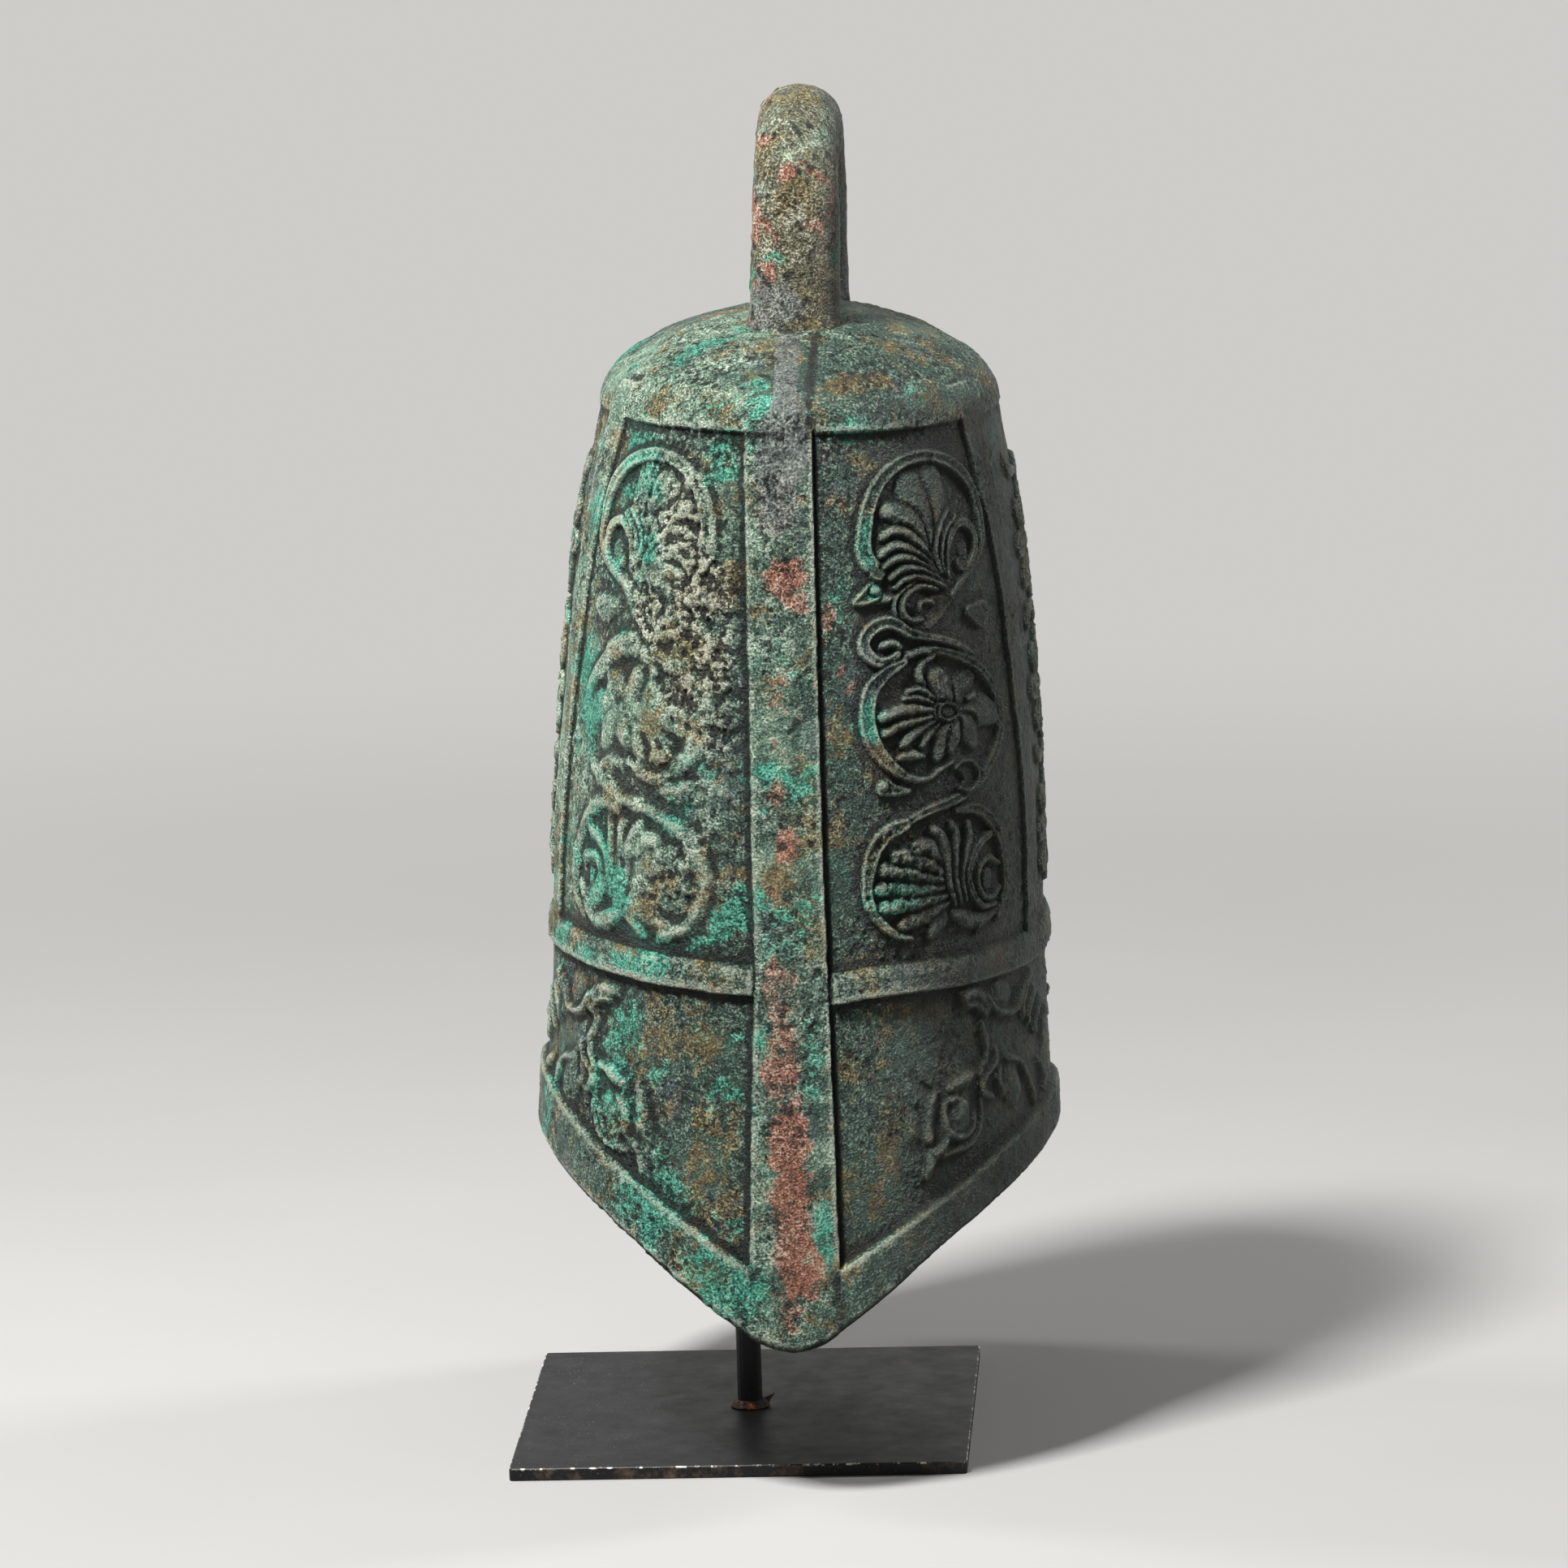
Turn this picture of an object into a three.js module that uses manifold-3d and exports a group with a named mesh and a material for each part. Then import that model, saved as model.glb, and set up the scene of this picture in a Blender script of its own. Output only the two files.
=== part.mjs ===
// Oval temple bell of cast bronze on a steel display stand, in millimetres, +Z up and -Y to the front.
// The origin is the centre of the stand plate's underside, which is also the axis of the post.
// The bell hangs over the post: its crown sits on padded points inside, and it leans a little to the right.
import * as THREE from "three";
import { mergeVertices } from "three/addons/utils/BufferGeometryUtils.js";
import Module from "manifold-3d";

const wasm = await Module();
wasm.setup();

// Running and seating gap between pieces that touch
const seatGap = 0.3;

// Stand plate and post
const plateSide = 228.6;
const plateThickness = 6.35;
const plateCornerRadius = 1.6;
const plateEdgeBevel = 0.5;
const postDiameter = 12.7;
const weldLeg = 6;

// Stand head: an oval ring of flat bar on the post, with four pads under the crown of the bell.
// The inset is kept from the crown's inside at the front and rear.
const headDrop = 32.5;
const headBarWidth = 12.7;
const headBarThickness = 6.35;
const headInset = 38;
const padDiameter = 15;

// Placing of the bell: where its axis meets the plate's top, and its lean to the right
const bellAxisX = 25;
const leanDegrees = 1.82;

// Heights on the bell's own axis, above the plate's top
const tipHeight = 70.5;
const mouthSideHeight = 151;
const midBandLow = 246.5;
const apexHeight = 566.5;

// Section of the bell: half width at the mouth and at the shoulder, and depth as a multiple of width
const mouthHalfWidth = 129.5;
const shoulderHalfWidth = 93.5;
const depthRatio = 1.26;
const wallThickness = 8;
const crownThickness = 9;
const domeRise = 31.5;

// Upright widths of the bands that run round the bell
const rimFrontWidth = 30.5;
const rimLeftWidth = 37;
const rimRightWidth = 26;
const midBandWidth = 16;
const collarWidth = 16.5;

// The front and rear ridges, and the mouth's tips under them, lie a little beside the axis
const ridgeTipX = 5.5;
const ridgeTopX = -4;

// Raised bands: how far each stands out, its width, and the run of its sloping edge
const ridgeRaise = 3;
const ridgeTopWidth = 32.5;
const ridgeTipWidth = 43;
const sideBandRaise = 2.2;
const sideBandWidth = 18;
const sideBandLowY = 53.5;
const sideBandHighY = 70;
const midBandRaise = 3.2;
const collarRaise = 1.2;
const rimRaise = 3.4;
const rimBulge = 4.4;
const rimLipRaise = 2;
const rimLipHeight = 4;
const bandEdgeRun = 1.2;
const midBandBevel = 3;

// Cast ornament of the panels: how far each kind stands out, the run of its sloping sides, and its root's depth
const stemRaise = 2.6;
const lobeRaise = 2.3;
const bossRaise = 2.9;
const strokeSlope = 0.9;
const strokeRoot = 1.5;

// Suspension loop, cast on to the crown in the front-to-back plane
const loopRise = 109.5;
const loopHalfSpan = 58;
const loopThickness = 34;
const loopLegWidth = 43;
const loopCrestWidth = 40;
const loopFootWidth = 46;
const loopFootThickness = 37;
const loopFootHeight = 16;

// Staple inside the crown and the clapper that hangs from it
const stapleBarDiameter = 10;
const stapleSpan = 44;
const stapleBendRadius = 14;
const stapleDrop = 33;
const clapperRodDiameter = 9;
const clapperEyeInnerDiameter = 15;
const clapperLength = 336;
const ballDiameter = 52;
const ballHeight = 62;
const rodCollarDiameter = 17;
const rodCollarHeight = 4;
const rivetHeight = 5;

// Outline of the body as shares of its height, from the mouth's tip up, and of its width at the mouth
const bodyShares = [
  [0, 1], [0.18, 0.99], [0.4, 0.951], [0.55, 0.942], [0.72, 0.901], [0.87, 0.846], [1, 0.763],
];
// Outline of the dome as shares of the shoulder's width and of the dome's rise
const domeShares = [[1, 0], [0.945, 0.15], [0.836, 0.37], [0.691, 0.62], [0.444, 0.86], [0.237, 0.96]];
// Rows of the upper register, and of the lower one, as shares of each one's height
const upperRowShares = [0.91, 0.77, 0.61, 0.43, 0.22];
const lowerRowShares = [0.66, 0.33];
// Rise of the mouth's edge from its tips to the sides, as shares of the way across and of the whole rise
const mouthShares = [[0, 0], [0.06, 0.02], [0.12, 0.055], [0.19, 0.133], [0.35, 0.316], [0.6, 0.62], [1, 1]];

// Ornament. Places, radii and half widths are shares of the height of the register that it stands in.
// A place is a run round the oval, from the middle of the front or of the broad face, and a rise from the foot.
// An arc has its centre, radii, the two angles that it runs between in degrees, and its half width.
// A stem has its half width and its places, and a boss has two places and the half width at each.
// A spray has its hub, the arc that the tips of its petals lie on, and how many petals it has. One that isn't
// a full turn also has its back, a place behind the hub.
const vineShares = {
  arcs: [
    [[0.297, 0.809], [0.153, 0.136], 214, -38, 0.0135],
    [[0.277, 0.43], [0.232, 0.15], 98, -80, 0.012],
    [[0.367, 0.464], [0.21, 0.141], 131, 238, 0.0155],
    [[0.25, 0.15], [0.0895, 0.11], 78, 272, 0.014],
    [[0.367, 0.125], [0.16, 0.148], 88, -34, 0.0125],
  ],
  stems: [
    [0.011, [0.221, 0.583], [0.176, 0.572], [0.151, 0.612], [0.2, 0.644], [0.328, 0.6], [0.414, 0.561]],
  ],
  bosses: [
    [[0.36, 0.715], [0.395, 0.765], 0.014, 0.042],
    [[0.354, 0.668], [0.262, 0.664], 0.012, 0.029],
    [[0.405, 0.645], [0.444, 0.634], 0.012, 0.026],
    [[0.37, 0.357], [0.408, 0.327], 0.01, 0.026],
    [[0.47, 0.16], [0.465, 0.11], 0.06, 0.055],
  ],
  sprays: [
    { hub: [0.325, 0.715], back: [0.35, 0.685], centre: [0.297, 0.809], radii: [0.118, 0.118],
      turn: [80, 234], petals: 8 },
    { hub: [0.337, 0.463], centre: [0.337, 0.463], radii: [0.15, 0.09], turn: [18, 378], petals: 11 },
    { hub: [0.36, 0.125], back: [0.385, 0.125], centre: [0.336, 0.127], radii: [0.155, 0.1],
      turn: [112, 260], petals: 7 },
  ],
};
const lowerLeafShares = {
  arcs: [],
  stems: [
    [0.027, [0.669, 0.947], [0.821, 0.878]],
    [0.018, [0.812, 0.924], [0.852, 0.875], [0.961, 0.839], [1.072, 0.904], [1.151, 0.954]],
    [0.016, [0.925, 0.693], [1.072, 0.621], [1.154, 0.492]],
  ],
  bosses: [
    [[0.885, 0.927], [0.93, 0.908], 0.044, 0.044],
    [[1.148, 0.877], [1.195, 0.753], 0.038, 0.066],
    [[0.946, 0.617], [0.982, 0.577], 0.057, 0.057],
    [[0.66, 0.568], [0.668, 0.516], 0.071, 0.071],
  ],
  sprays: [],
};
const rosetteRowShares = [0.166, 0.447, 0.729];
const rosetteShares = {
  arcs: [],
  stems: [],
  bosses: [],
  sprays: [{ hub: [0, 0], centre: [0, 0], radii: [0.118, 0.118], turn: [0, 360], petals: 8 }],
};
// Hollow between two petals: its distance from the hub and its height, as shares of a petal's
const petalHollowShares = [0.82, 0.5];

// Section of a fillet of weld, from its root corner, as shares of its leg
const weldShares = [[0, 0], [1, 0], [0.92, 0.22], [0.55, 0.55], [0.22, 0.92], [0, 1], [0, 0]];

// Number of facets
const roundSegments = 32;
const latheSegments = 20;
const ovalSegments = 32;
const barSteps = 16;
const arcStepDegrees = 38;
const cellsAcross = { ridge: 2, edge: 1, panel: 5, sideBand: 1, centre: 2 };

const radians = THREE.MathUtils.degToRad;
const lerp = THREE.MathUtils.lerp;

const bronze = { color: 0x4a5a4c, roughness: 0.75, metalness: 0.55 };
const loopBronze = { color: 0x6b6b55, roughness: 0.7, metalness: 0.5 };
const innerBronze = { color: 0x46523f, roughness: 0.8, metalness: 0.5 };
const wroughtIron = { color: 0x4b342a, roughness: 0.85, metalness: 0.6 };
const blackPaint = { color: 0x17171a, roughness: 0.45, metalness: 0.2 };
const weldSteel = { color: 0x3a2418, roughness: 0.9, metalness: 0.4 };
const rubber = { color: 0x1b1a18, roughness: 0.95, metalness: 0 };

// Joins and cuts

function toSolid(geometry) {
  const bare = geometry.clone();
  bare.deleteAttribute("normal");
  bare.deleteAttribute("uv");
  const merged = mergeVertices(bare);
  return new wasm.Manifold(new wasm.Mesh({
    numProp: 3,
    vertProperties: new Float32Array(merged.attributes.position.array),
    triVerts: new Uint32Array(merged.index.array),
  }));
}

function toGeometry(solid) {
  const mesh = solid.getMesh();
  const geometry = new THREE.BufferGeometry();
  geometry.setAttribute("position", new THREE.BufferAttribute(mesh.vertProperties, 3));
  geometry.setIndex(new THREE.BufferAttribute(mesh.triVerts, 1));
  geometry.computeVertexNormals();
  return geometry;
}

// One closed skin through rings with as many points each, closed by a point at each end
function skin(startPoint, rings, endPoint) {
  const count = rings[0].length;
  const points = [startPoint, ...rings.flat(), endPoint];
  const index = [];
  const at = (ring, k) => 1 + ring * count + (k % count);
  for (let k = 0; k < count; k += 1) {
    index.push(0, at(0, k), at(0, k + 1));
    index.push(points.length - 1, at(rings.length - 1, k + 1), at(rings.length - 1, k));
  }
  for (let ring = 0; ring + 1 < rings.length; ring += 1) {
    for (let k = 0; k < count; k += 1) {
      index.push(at(ring, k), at(ring + 1, k), at(ring + 1, k + 1));
      index.push(at(ring, k), at(ring + 1, k + 1), at(ring, k + 1));
    }
  }
  const geometry = new THREE.BufferGeometry().setFromPoints(points);
  geometry.setIndex(index);
  geometry.computeVertexNormals();
  return geometry;
}

// A smooth curve through a table of [place, value] pairs
function smoothAt(table, place) {
  const last = table.length - 1;
  const inside = THREE.MathUtils.clamp(place, table[0][0], table[last][0]);
  const k = Math.min(last - 1, Math.max(0, table.findIndex((pair) => pair[0] >= inside) - 1));
  const slope = (i) => {
    const [before, after] = [table[Math.max(i - 1, 0)], table[Math.min(i + 1, last)]];
    return (after[1] - before[1]) / (after[0] - before[0]);
  };
  const run = table[k + 1][0] - table[k][0];
  const t = (inside - table[k][0]) / run;
  const t2 = t * t;
  const t3 = t2 * t;
  return (2 * t3 - 3 * t2 + 1) * table[k][1] + (t3 - 2 * t2 + t) * run * slope(k)
    + (3 * t2 - 2 * t3) * table[k + 1][1] + (t3 - t2) * run * slope(k + 1);
}

// Surface of the bell

const rimFrontHeight = tipHeight + rimFrontWidth;
const rimSideHeight = mouthSideHeight + Math.max(rimLeftWidth, rimRightWidth);
const midBandHigh = midBandLow + midBandWidth;
const collarHigh = apexHeight - domeRise;
const collarLow = collarHigh - collarWidth;
const bodyRise = collarLow - tipHeight;

function bodyHalfWidth(height) {
  return mouthHalfWidth * smoothAt(bodyShares, (height - tipHeight) / bodyRise);
}

// A point of the oval at an angle from the front, moved out by a raise
function ovalPoint(angle, halfWidth, raise, height) {
  const x = (halfWidth + raise) * Math.sin(angle);
  const y = -(halfWidth * depthRatio + raise) * Math.cos(angle);
  return new THREE.Vector3(x, y, height);
}

// How far across an angle lies, from 0 at the mouth's tip to 1 at the side
function shareAcross(angle) {
  const tip = ridgeTipX / mouthHalfWidth;
  const beside = Math.sin(angle) - tip;
  return beside < 0 ? -beside / (1 + tip) : beside / (1 - tip);
}

function mouthHeight(angle) {
  return lerp(tipHeight, mouthSideHeight, smoothAt(mouthShares, shareAcross(angle)));
}

function rimTopHeight(angle) {
  const sideWidth = Math.sin(angle) * mouthHalfWidth < ridgeTipX ? rimLeftWidth : rimRightWidth;
  return lerp(rimFrontHeight, mouthSideHeight + sideWidth, shareAcross(angle));
}

// Angles of the columns in one quarter, from the ridge's middle to the side, with the zone that each lies in
function quarterColumns(height, side) {
  const halfWidth = bodyHalfWidth(height);
  const up = (height - tipHeight) / bodyRise;
  const ridgeX = side * lerp(ridgeTipX, ridgeTopX, up);
  const ridgeEdge = ridgeX + lerp(ridgeTipWidth, ridgeTopWidth, up) / 2;
  const upRegister = THREE.MathUtils.clamp((height - midBandHigh) / (collarLow - midBandHigh), 0, 1);
  const bandY = lerp(sideBandLowY, sideBandHighY, upRegister);
  const atX = (x) => Math.asin(x / halfWidth);
  const atY = (y) => Math.acos(y / (halfWidth * depthRatio));
  const stops = [
    [atX(ridgeX), "ridge"],
    [atX(ridgeEdge), "ridge"],
    [atX(ridgeEdge + bandEdgeRun), "panel"],
    [atY(bandY + bandEdgeRun), "panel"],
    [atY(bandY), "sideBand"],
    [atY(bandY - sideBandWidth), "sideBand"],
    [atY(bandY - sideBandWidth - bandEdgeRun), "centre"],
    [Math.PI / 2, "centre"],
  ];
  const columns = [];
  for (let k = 0; k + 1 < stops.length; k += 1) {
    const [[from, zone], [to, nextZone]] = [stops[k], stops[k + 1]];
    const cells = zone === nextZone ? cellsAcross[zone] : cellsAcross.edge;
    for (let cell = 0; cell < cells; cell += 1) {
      columns.push({ angle: lerp(from, to, cell / cells), zone });
    }
  }
  return columns;
}

// The columns once round the bell, from the front ridge to the right, with the rear mirrored from the front
function allColumns(height) {
  const turned = (quarter, base, sign) => (
    quarter.map(({ angle, zone }) => ({ angle: base + sign * angle, zone }))
  );
  const [right, left] = [quarterColumns(height, 1), quarterColumns(height, -1)];
  const atSide = (angle) => ({ angle, zone: "centre" });
  return [
    ...right,
    atSide(Math.PI / 2),
    ...turned(right, Math.PI, -1).reverse(),
    ...turned(left.slice(1), Math.PI, 1),
    atSide((3 * Math.PI) / 2),
    ...turned(left.slice(1), 2 * Math.PI, -1).reverse(),
  ];
}

// A ring of the bell's skin: heights and raises are numbers or functions of the column
function bellRing(columnHeight, heightOf, halfWidthOf, raiseOf) {
  return allColumns(columnHeight).map(({ angle, zone }) => {
    const height = heightOf(angle);
    return ovalPoint(angle, halfWidthOf(height), raiseOf(zone), height);
  });
}

const bare = { ridge: ridgeRaise, panel: 0, sideBand: 0, centre: 0 };
const upperRaises = { ...bare, sideBand: sideBandRaise };

function levelRing(height, raises, halfWidth = bodyHalfWidth(height)) {
  return bellRing(height, () => height, () => halfWidth, (zone) => raises[zone]);
}

function bandRing(height, raise) {
  return bellRing(height, () => height, bodyHalfWidth, () => raise);
}

function outerRings() {
  const dome = domeShares.map(([width, rise]) => (
    bellRing(collarLow, () => collarHigh + rise * domeRise, () => shoulderHalfWidth * width, () => 0)
  )).reverse();
  const upper = upperRowShares.map((share) => levelRing(lerp(midBandHigh, collarLow, share), upperRaises));
  const rimColumns = rimSideHeight;
  const rimEdge = (angle) => rimTopHeight(angle) + bandEdgeRun;
  const lower = lowerRowShares.map((share) => bellRing(
    lerp(rimColumns, midBandLow, share),
    (angle) => lerp(rimEdge(angle), midBandLow - bandEdgeRun, share),
    bodyHalfWidth,
    (zone) => bare[zone],
  ));
  const rimRing = (heightOf, raiseOf) => bellRing(rimColumns, heightOf, bodyHalfWidth, raiseOf);
  return [
    ...dome,
    bandRing(collarLow + bandEdgeRun, collarRaise),
    levelRing(collarLow, upperRaises),
    ...upper,
    levelRing(midBandHigh, upperRaises),
    bandRing(midBandHigh - midBandBevel, midBandRaise),
    bandRing(midBandLow, midBandRaise),
    levelRing(midBandLow - bandEdgeRun, bare),
    ...lower,
    rimRing(rimEdge, (zone) => bare[zone]),
    rimRing(rimTopHeight, () => rimRaise),
    rimRing((angle) => lerp(mouthHeight(angle), rimTopHeight(angle), 1 / 2), () => rimBulge),
    rimRing((angle) => mouthHeight(angle) + rimLipHeight, () => rimBulge),
    rimRing(mouthHeight, () => rimLipRaise),
  ];
}

const innerHalfWidth = (height) => bodyHalfWidth(height) - wallThickness;

function innerRings() {
  const rows = upperRowShares.filter((_, k) => k % 2 === 0).reverse();
  const walls = [0, ...rows].map((share) => lerp(midBandHigh, collarLow, share)).map((height) => (
    bellRing(height, () => height, innerHalfWidth, () => 0)
  ));
  const dome = domeShares.map(([width, rise]) => bellRing(
    collarLow,
    () => collarHigh - crownThickness + rise * domeRise,
    () => (shoulderHalfWidth - wallThickness) * width,
    () => 0,
  ));
  return [
    bellRing(rimSideHeight, mouthHeight, innerHalfWidth, () => 0),
    ...walls,
    ...dome,
  ];
}

const bellGeometry = skin(
  new THREE.Vector3(0, 0, apexHeight),
  [...outerRings(), ...innerRings()],
  new THREE.Vector3(0, 0, apexHeight - crownThickness),
);
const bellSolid = toSolid(bellGeometry);

// Ornament, cast in one with the body

// A point of the body's outside at a run round the oval from the front, or from the middle of a broad face
function facePoint(run, height, raise, fromSide) {
  const halfWidth = bodyHalfWidth(height);
  const halfDepth = halfWidth * depthRatio;
  const half = new THREE.EllipseCurve(0, 0, halfWidth, halfDepth, -Math.PI / 2, Math.PI / 2);
  const length = half.getLength();
  const at = half.getPointAt(run / length + (fromSide ? 1 / 2 : 0));
  const outward = new THREE.Vector2(at.x / halfWidth ** 2, at.y / halfDepth ** 2).normalize();
  at.addScaledVector(outward, raise);
  return new THREE.Vector3(at.x, at.y, height);
}

// A bar with sloping sides and pointed ends along a line of places, rooted in the wall
function strokeGeometry(places, widths, raise, onFace) {
  const last = places.length - 1;
  const along = places.map((_, k) => (
    places[Math.min(k + 1, last)].clone().sub(places[Math.max(k - 1, 0)]).normalize()
  ));
  const rings = places.map((place, k) => {
    const across = new THREE.Vector2(-along[k].y, along[k].x);
    const half = lerp(widths[0], widths[1], k / last);
    const section = [
      [-half - strokeSlope, -strokeRoot], [-half + strokeSlope, raise],
      [half - strokeSlope, raise], [half + strokeSlope, -strokeRoot],
    ];
    return section.map(([out, up]) => onFace(place.clone().addScaledVector(across, out), up));
  });
  const start = places[0].clone().addScaledVector(along[0], -widths[0]);
  const end = places[last].clone().addScaledVector(along[last], widths[1]);
  return skin(onFace(start, -strokeRoot / 2), rings, onFace(end, -strokeRoot / 2));
}

const vector = ([x, y]) => new THREE.Vector2(x, y);

function turnOf(centre, radii, from, to) {
  return new THREE.EllipseCurve(...centre, ...radii, radians(from), radians(to), to < from);
}

// The strokes of an ornament, each with its places, its half width at both ends and its raise
function strokesOf({ arcs, stems, bosses }) {
  return [
    ...arcs.map(([centre, radii, from, to, width]) => {
      // corners stand out by half of what the straight steps cut off
      const steps = Math.ceil(Math.abs(to - from) / arcStepDegrees);
      const wider = (3 - Math.cos(radians((to - from) / steps / 2))) / 2;
      const places = turnOf(centre, radii.map((radius) => radius * wider), from, to).getPoints(steps);
      return { places, widths: [width, width], raise: stemRaise };
    }),
    ...stems.map(([width, ...places]) => ({
      places: new THREE.SplineCurve(places.map(vector)).getPoints(places.length),
      widths: [width, width],
      raise: stemRaise,
    })),
    ...bosses.map(([root, tip, ...widths]) => ({ places: [root, tip].map(vector), widths, raise: bossRaise })),
  ];
}

// A spray of petals: a low dome with a scalloped edge, whose faces meet in a crest along each petal.
// Its edge runs clockwise as seen from outside, and goes all round the hub where the spray has no back.
function sprayGeometry({ hub, back, centre, radii, turn, petals }, scale, onFace) {
  const middle = vector(hub).multiplyScalar(scale);
  const [from, to] = turn.map(radians);
  const steps = 2 * petals - (back ? 2 : 0);
  const edge = Array.from({ length: back ? steps + 1 : steps }, (_, k) => {
    const angle = lerp(to, from, k / steps);
    const tip = vector([Math.cos(angle), Math.sin(angle)]).multiply(vector(radii)).add(vector(centre));
    const [inward, low] = k % 2 ? petalHollowShares : [1, 1];
    return { place: middle.clone().lerp(tip.multiplyScalar(scale), inward), raise: lobeRaise * low };
  });
  if (back) {
    edge.push({ place: vector(back).multiplyScalar(scale), raise: lobeRaise });
  }
  const foot = edge.map(({ place }) => {
    const outside = place.clone().lerp(middle, -strokeSlope / place.distanceTo(middle));
    return onFace(outside, -strokeRoot);
  });
  const top = edge.map(({ place, raise }) => onFace(place, raise));
  return skin(onFace(middle, -strokeRoot), [foot, top], onFace(middle, bossRaise));
}

// The shape mirrored to another side, with its faces turned outward again
function mirrored(geometry, sideX, sideY) {
  const copy = geometry.clone().scale(sideX, sideY, 1);
  const index = [...copy.index.array];
  const turned = sideX * sideY < 0 ? [0, 2, 1] : [0, 1, 2];
  copy.setIndex(index.map((_, k) => index[k - (k % 3) + turned[k % 3]]));
  return copy;
}

// An ornament laid on the register between two heights, from a row on it up, and repeated on mirrored sides
function castOrnament(shares, low, high, mirrors, row = 0, fromSide = false) {
  const scale = high - low;
  const onFace = (place, raise) => facePoint(place.x, low + row * scale + place.y, raise, fromSide);
  const strokes = strokesOf(shares).map(({ places, widths, raise }) => strokeGeometry(
    places.map((place) => place.multiplyScalar(scale)), widths.map((width) => width * scale), raise, onFace,
  ));
  const sprays = shares.sprays.map((spray) => sprayGeometry(spray, scale, onFace));
  return [...strokes, ...sprays].flatMap((geometry) => (
    mirrors.map(([sideX, sideY]) => toSolid(mirrored(geometry, sideX, sideY)))
  ));
}

function castBody() {
  const corners = [[1, 1], [-1, 1], [1, -1], [-1, -1]];
  const broadFaces = [[1, 1], [-1, 1]];
  return toGeometry(wasm.Manifold.union([
    bellSolid,
    ...castOrnament(vineShares, midBandHigh, collarLow, corners),
    ...castOrnament(lowerLeafShares, rimFrontHeight, midBandLow, corners),
    ...rosetteRowShares.flatMap((row) => (
      castOrnament(rosetteShares, midBandHigh, collarLow, broadFaces, row, true)
    )),
  ]));
}

// Height of the dome's inside at a point of the bell's own frame
function crownInside(x, y) {
  const share = Math.hypot(x, y / depthRatio) / (shoulderHalfWidth - wallThickness);
  const rising = [...domeShares, [0, 1]].reverse();
  return collarHigh - crownThickness + domeRise * smoothAt(rising, share);
}

// Suspension loop: rounded sections carried along two legs and a half circle, cut to the dome

function loopSection(centre, outward, halfWidth, halfThickness) {
  const section = [];
  for (let k = 0; k < roundSegments / 2; k += 1) {
    const angle = (4 * Math.PI * k) / roundSegments;
    const across = new THREE.Vector3(halfWidth * Math.cos(angle), 0, 0);
    section.push(centre.clone().add(across).addScaledVector(outward, halfThickness * Math.sin(angle)));
  }
  return section;
}

function suspensionLoop() {
  const turnRadius = loopHalfSpan - loopThickness / 2;
  const archHeight = apexHeight + loopRise - loopHalfSpan;
  const legWidths = [
    [apexHeight - crownThickness, loopFootWidth, loopFootThickness],
    [apexHeight, loopFootWidth, loopFootThickness],
    [apexHeight + loopFootHeight, loopLegWidth, loopThickness],
    [(apexHeight + loopFootHeight + archHeight) / 2, loopLegWidth, loopThickness],
  ];
  const leg = (side) => legWidths.map(([height, width, thickness]) => loopSection(
    new THREE.Vector3(0, side * turnRadius, height), new THREE.Vector3(0, side, 0), width / 2, thickness / 2,
  ));
  const turns = roundSegments / 2;
  const arch = [];
  for (let k = 0; k <= turns; k += 1) {
    const angle = (Math.PI * k) / turns;
    const outward = new THREE.Vector3(0, -Math.cos(angle), Math.sin(angle));
    const centre = new THREE.Vector3(0, 0, archHeight).addScaledVector(outward, turnRadius);
    const width = lerp(loopLegWidth, loopCrestWidth, Math.sin(angle));
    arch.push(loopSection(centre, outward, width / 2, loopThickness / 2));
  }
  const end = (side) => new THREE.Vector3(0, side * turnRadius, apexHeight - crownThickness);
  const rings = [...leg(-1), ...arch, ...leg(1).reverse()];
  const whole = toSolid(skin(end(-1), rings, end(1)));
  return toGeometry(whole.subtract(bellSolid.translate(0, 0, seatGap)));
}

// Staple: a bar bent to a U, both ends cast into the crown

function roundBar(curve, diameter, steps) {
  const circle = new THREE.Shape().absarc(0, 0, diameter / 2, 0, 2 * Math.PI);
  return new THREE.ExtrudeGeometry(circle, { extrudePath: curve, steps, curveSegments: roundSegments / 4 });
}

const stapleBarHeight = apexHeight - crownThickness - stapleDrop;

function clapperStaple() {
  const side = stapleSpan / 2;
  const inner = side - stapleBendRadius;
  const top = apexHeight - crownThickness / 2;
  const corner = (sign, angle) => new THREE.Vector3(
    sign * (inner + stapleBendRadius * Math.sin(angle)), 0,
    stapleBarHeight + stapleBendRadius * (1 - Math.cos(angle)),
  );
  const curve = new THREE.CurvePath();
  const bend = (sign) => new THREE.QuadraticBezierCurve3(
    corner(sign, sign < 0 ? Math.PI / 2 : 0), new THREE.Vector3(sign * side, 0, stapleBarHeight),
    corner(sign, sign < 0 ? 0 : Math.PI / 2),
  );
  curve.add(new THREE.LineCurve3(new THREE.Vector3(-side, 0, top), corner(-1, Math.PI / 2)));
  curve.add(bend(-1));
  curve.add(new THREE.LineCurve3(corner(-1, 0), corner(1, 0)));
  curve.add(bend(1));
  curve.add(new THREE.LineCurve3(corner(1, Math.PI / 2), new THREE.Vector3(side, 0, top)));
  const whole = toSolid(roundBar(curve, stapleBarDiameter, barSteps));
  return toGeometry(whole.subtract(bellSolid.translate(0, 0, -seatGap)));
}

// Clapper: a rod with a forged eye, and a bronze ball held between the rod's collar and its riveted end.
// Its own origin is the centre of the staple's bar.

const rodRadius = clapperRodDiameter / 2;
const eyeCentreDrop = clapperEyeInnerDiameter / 2 - stapleBarDiameter / 2 - seatGap;

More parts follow.
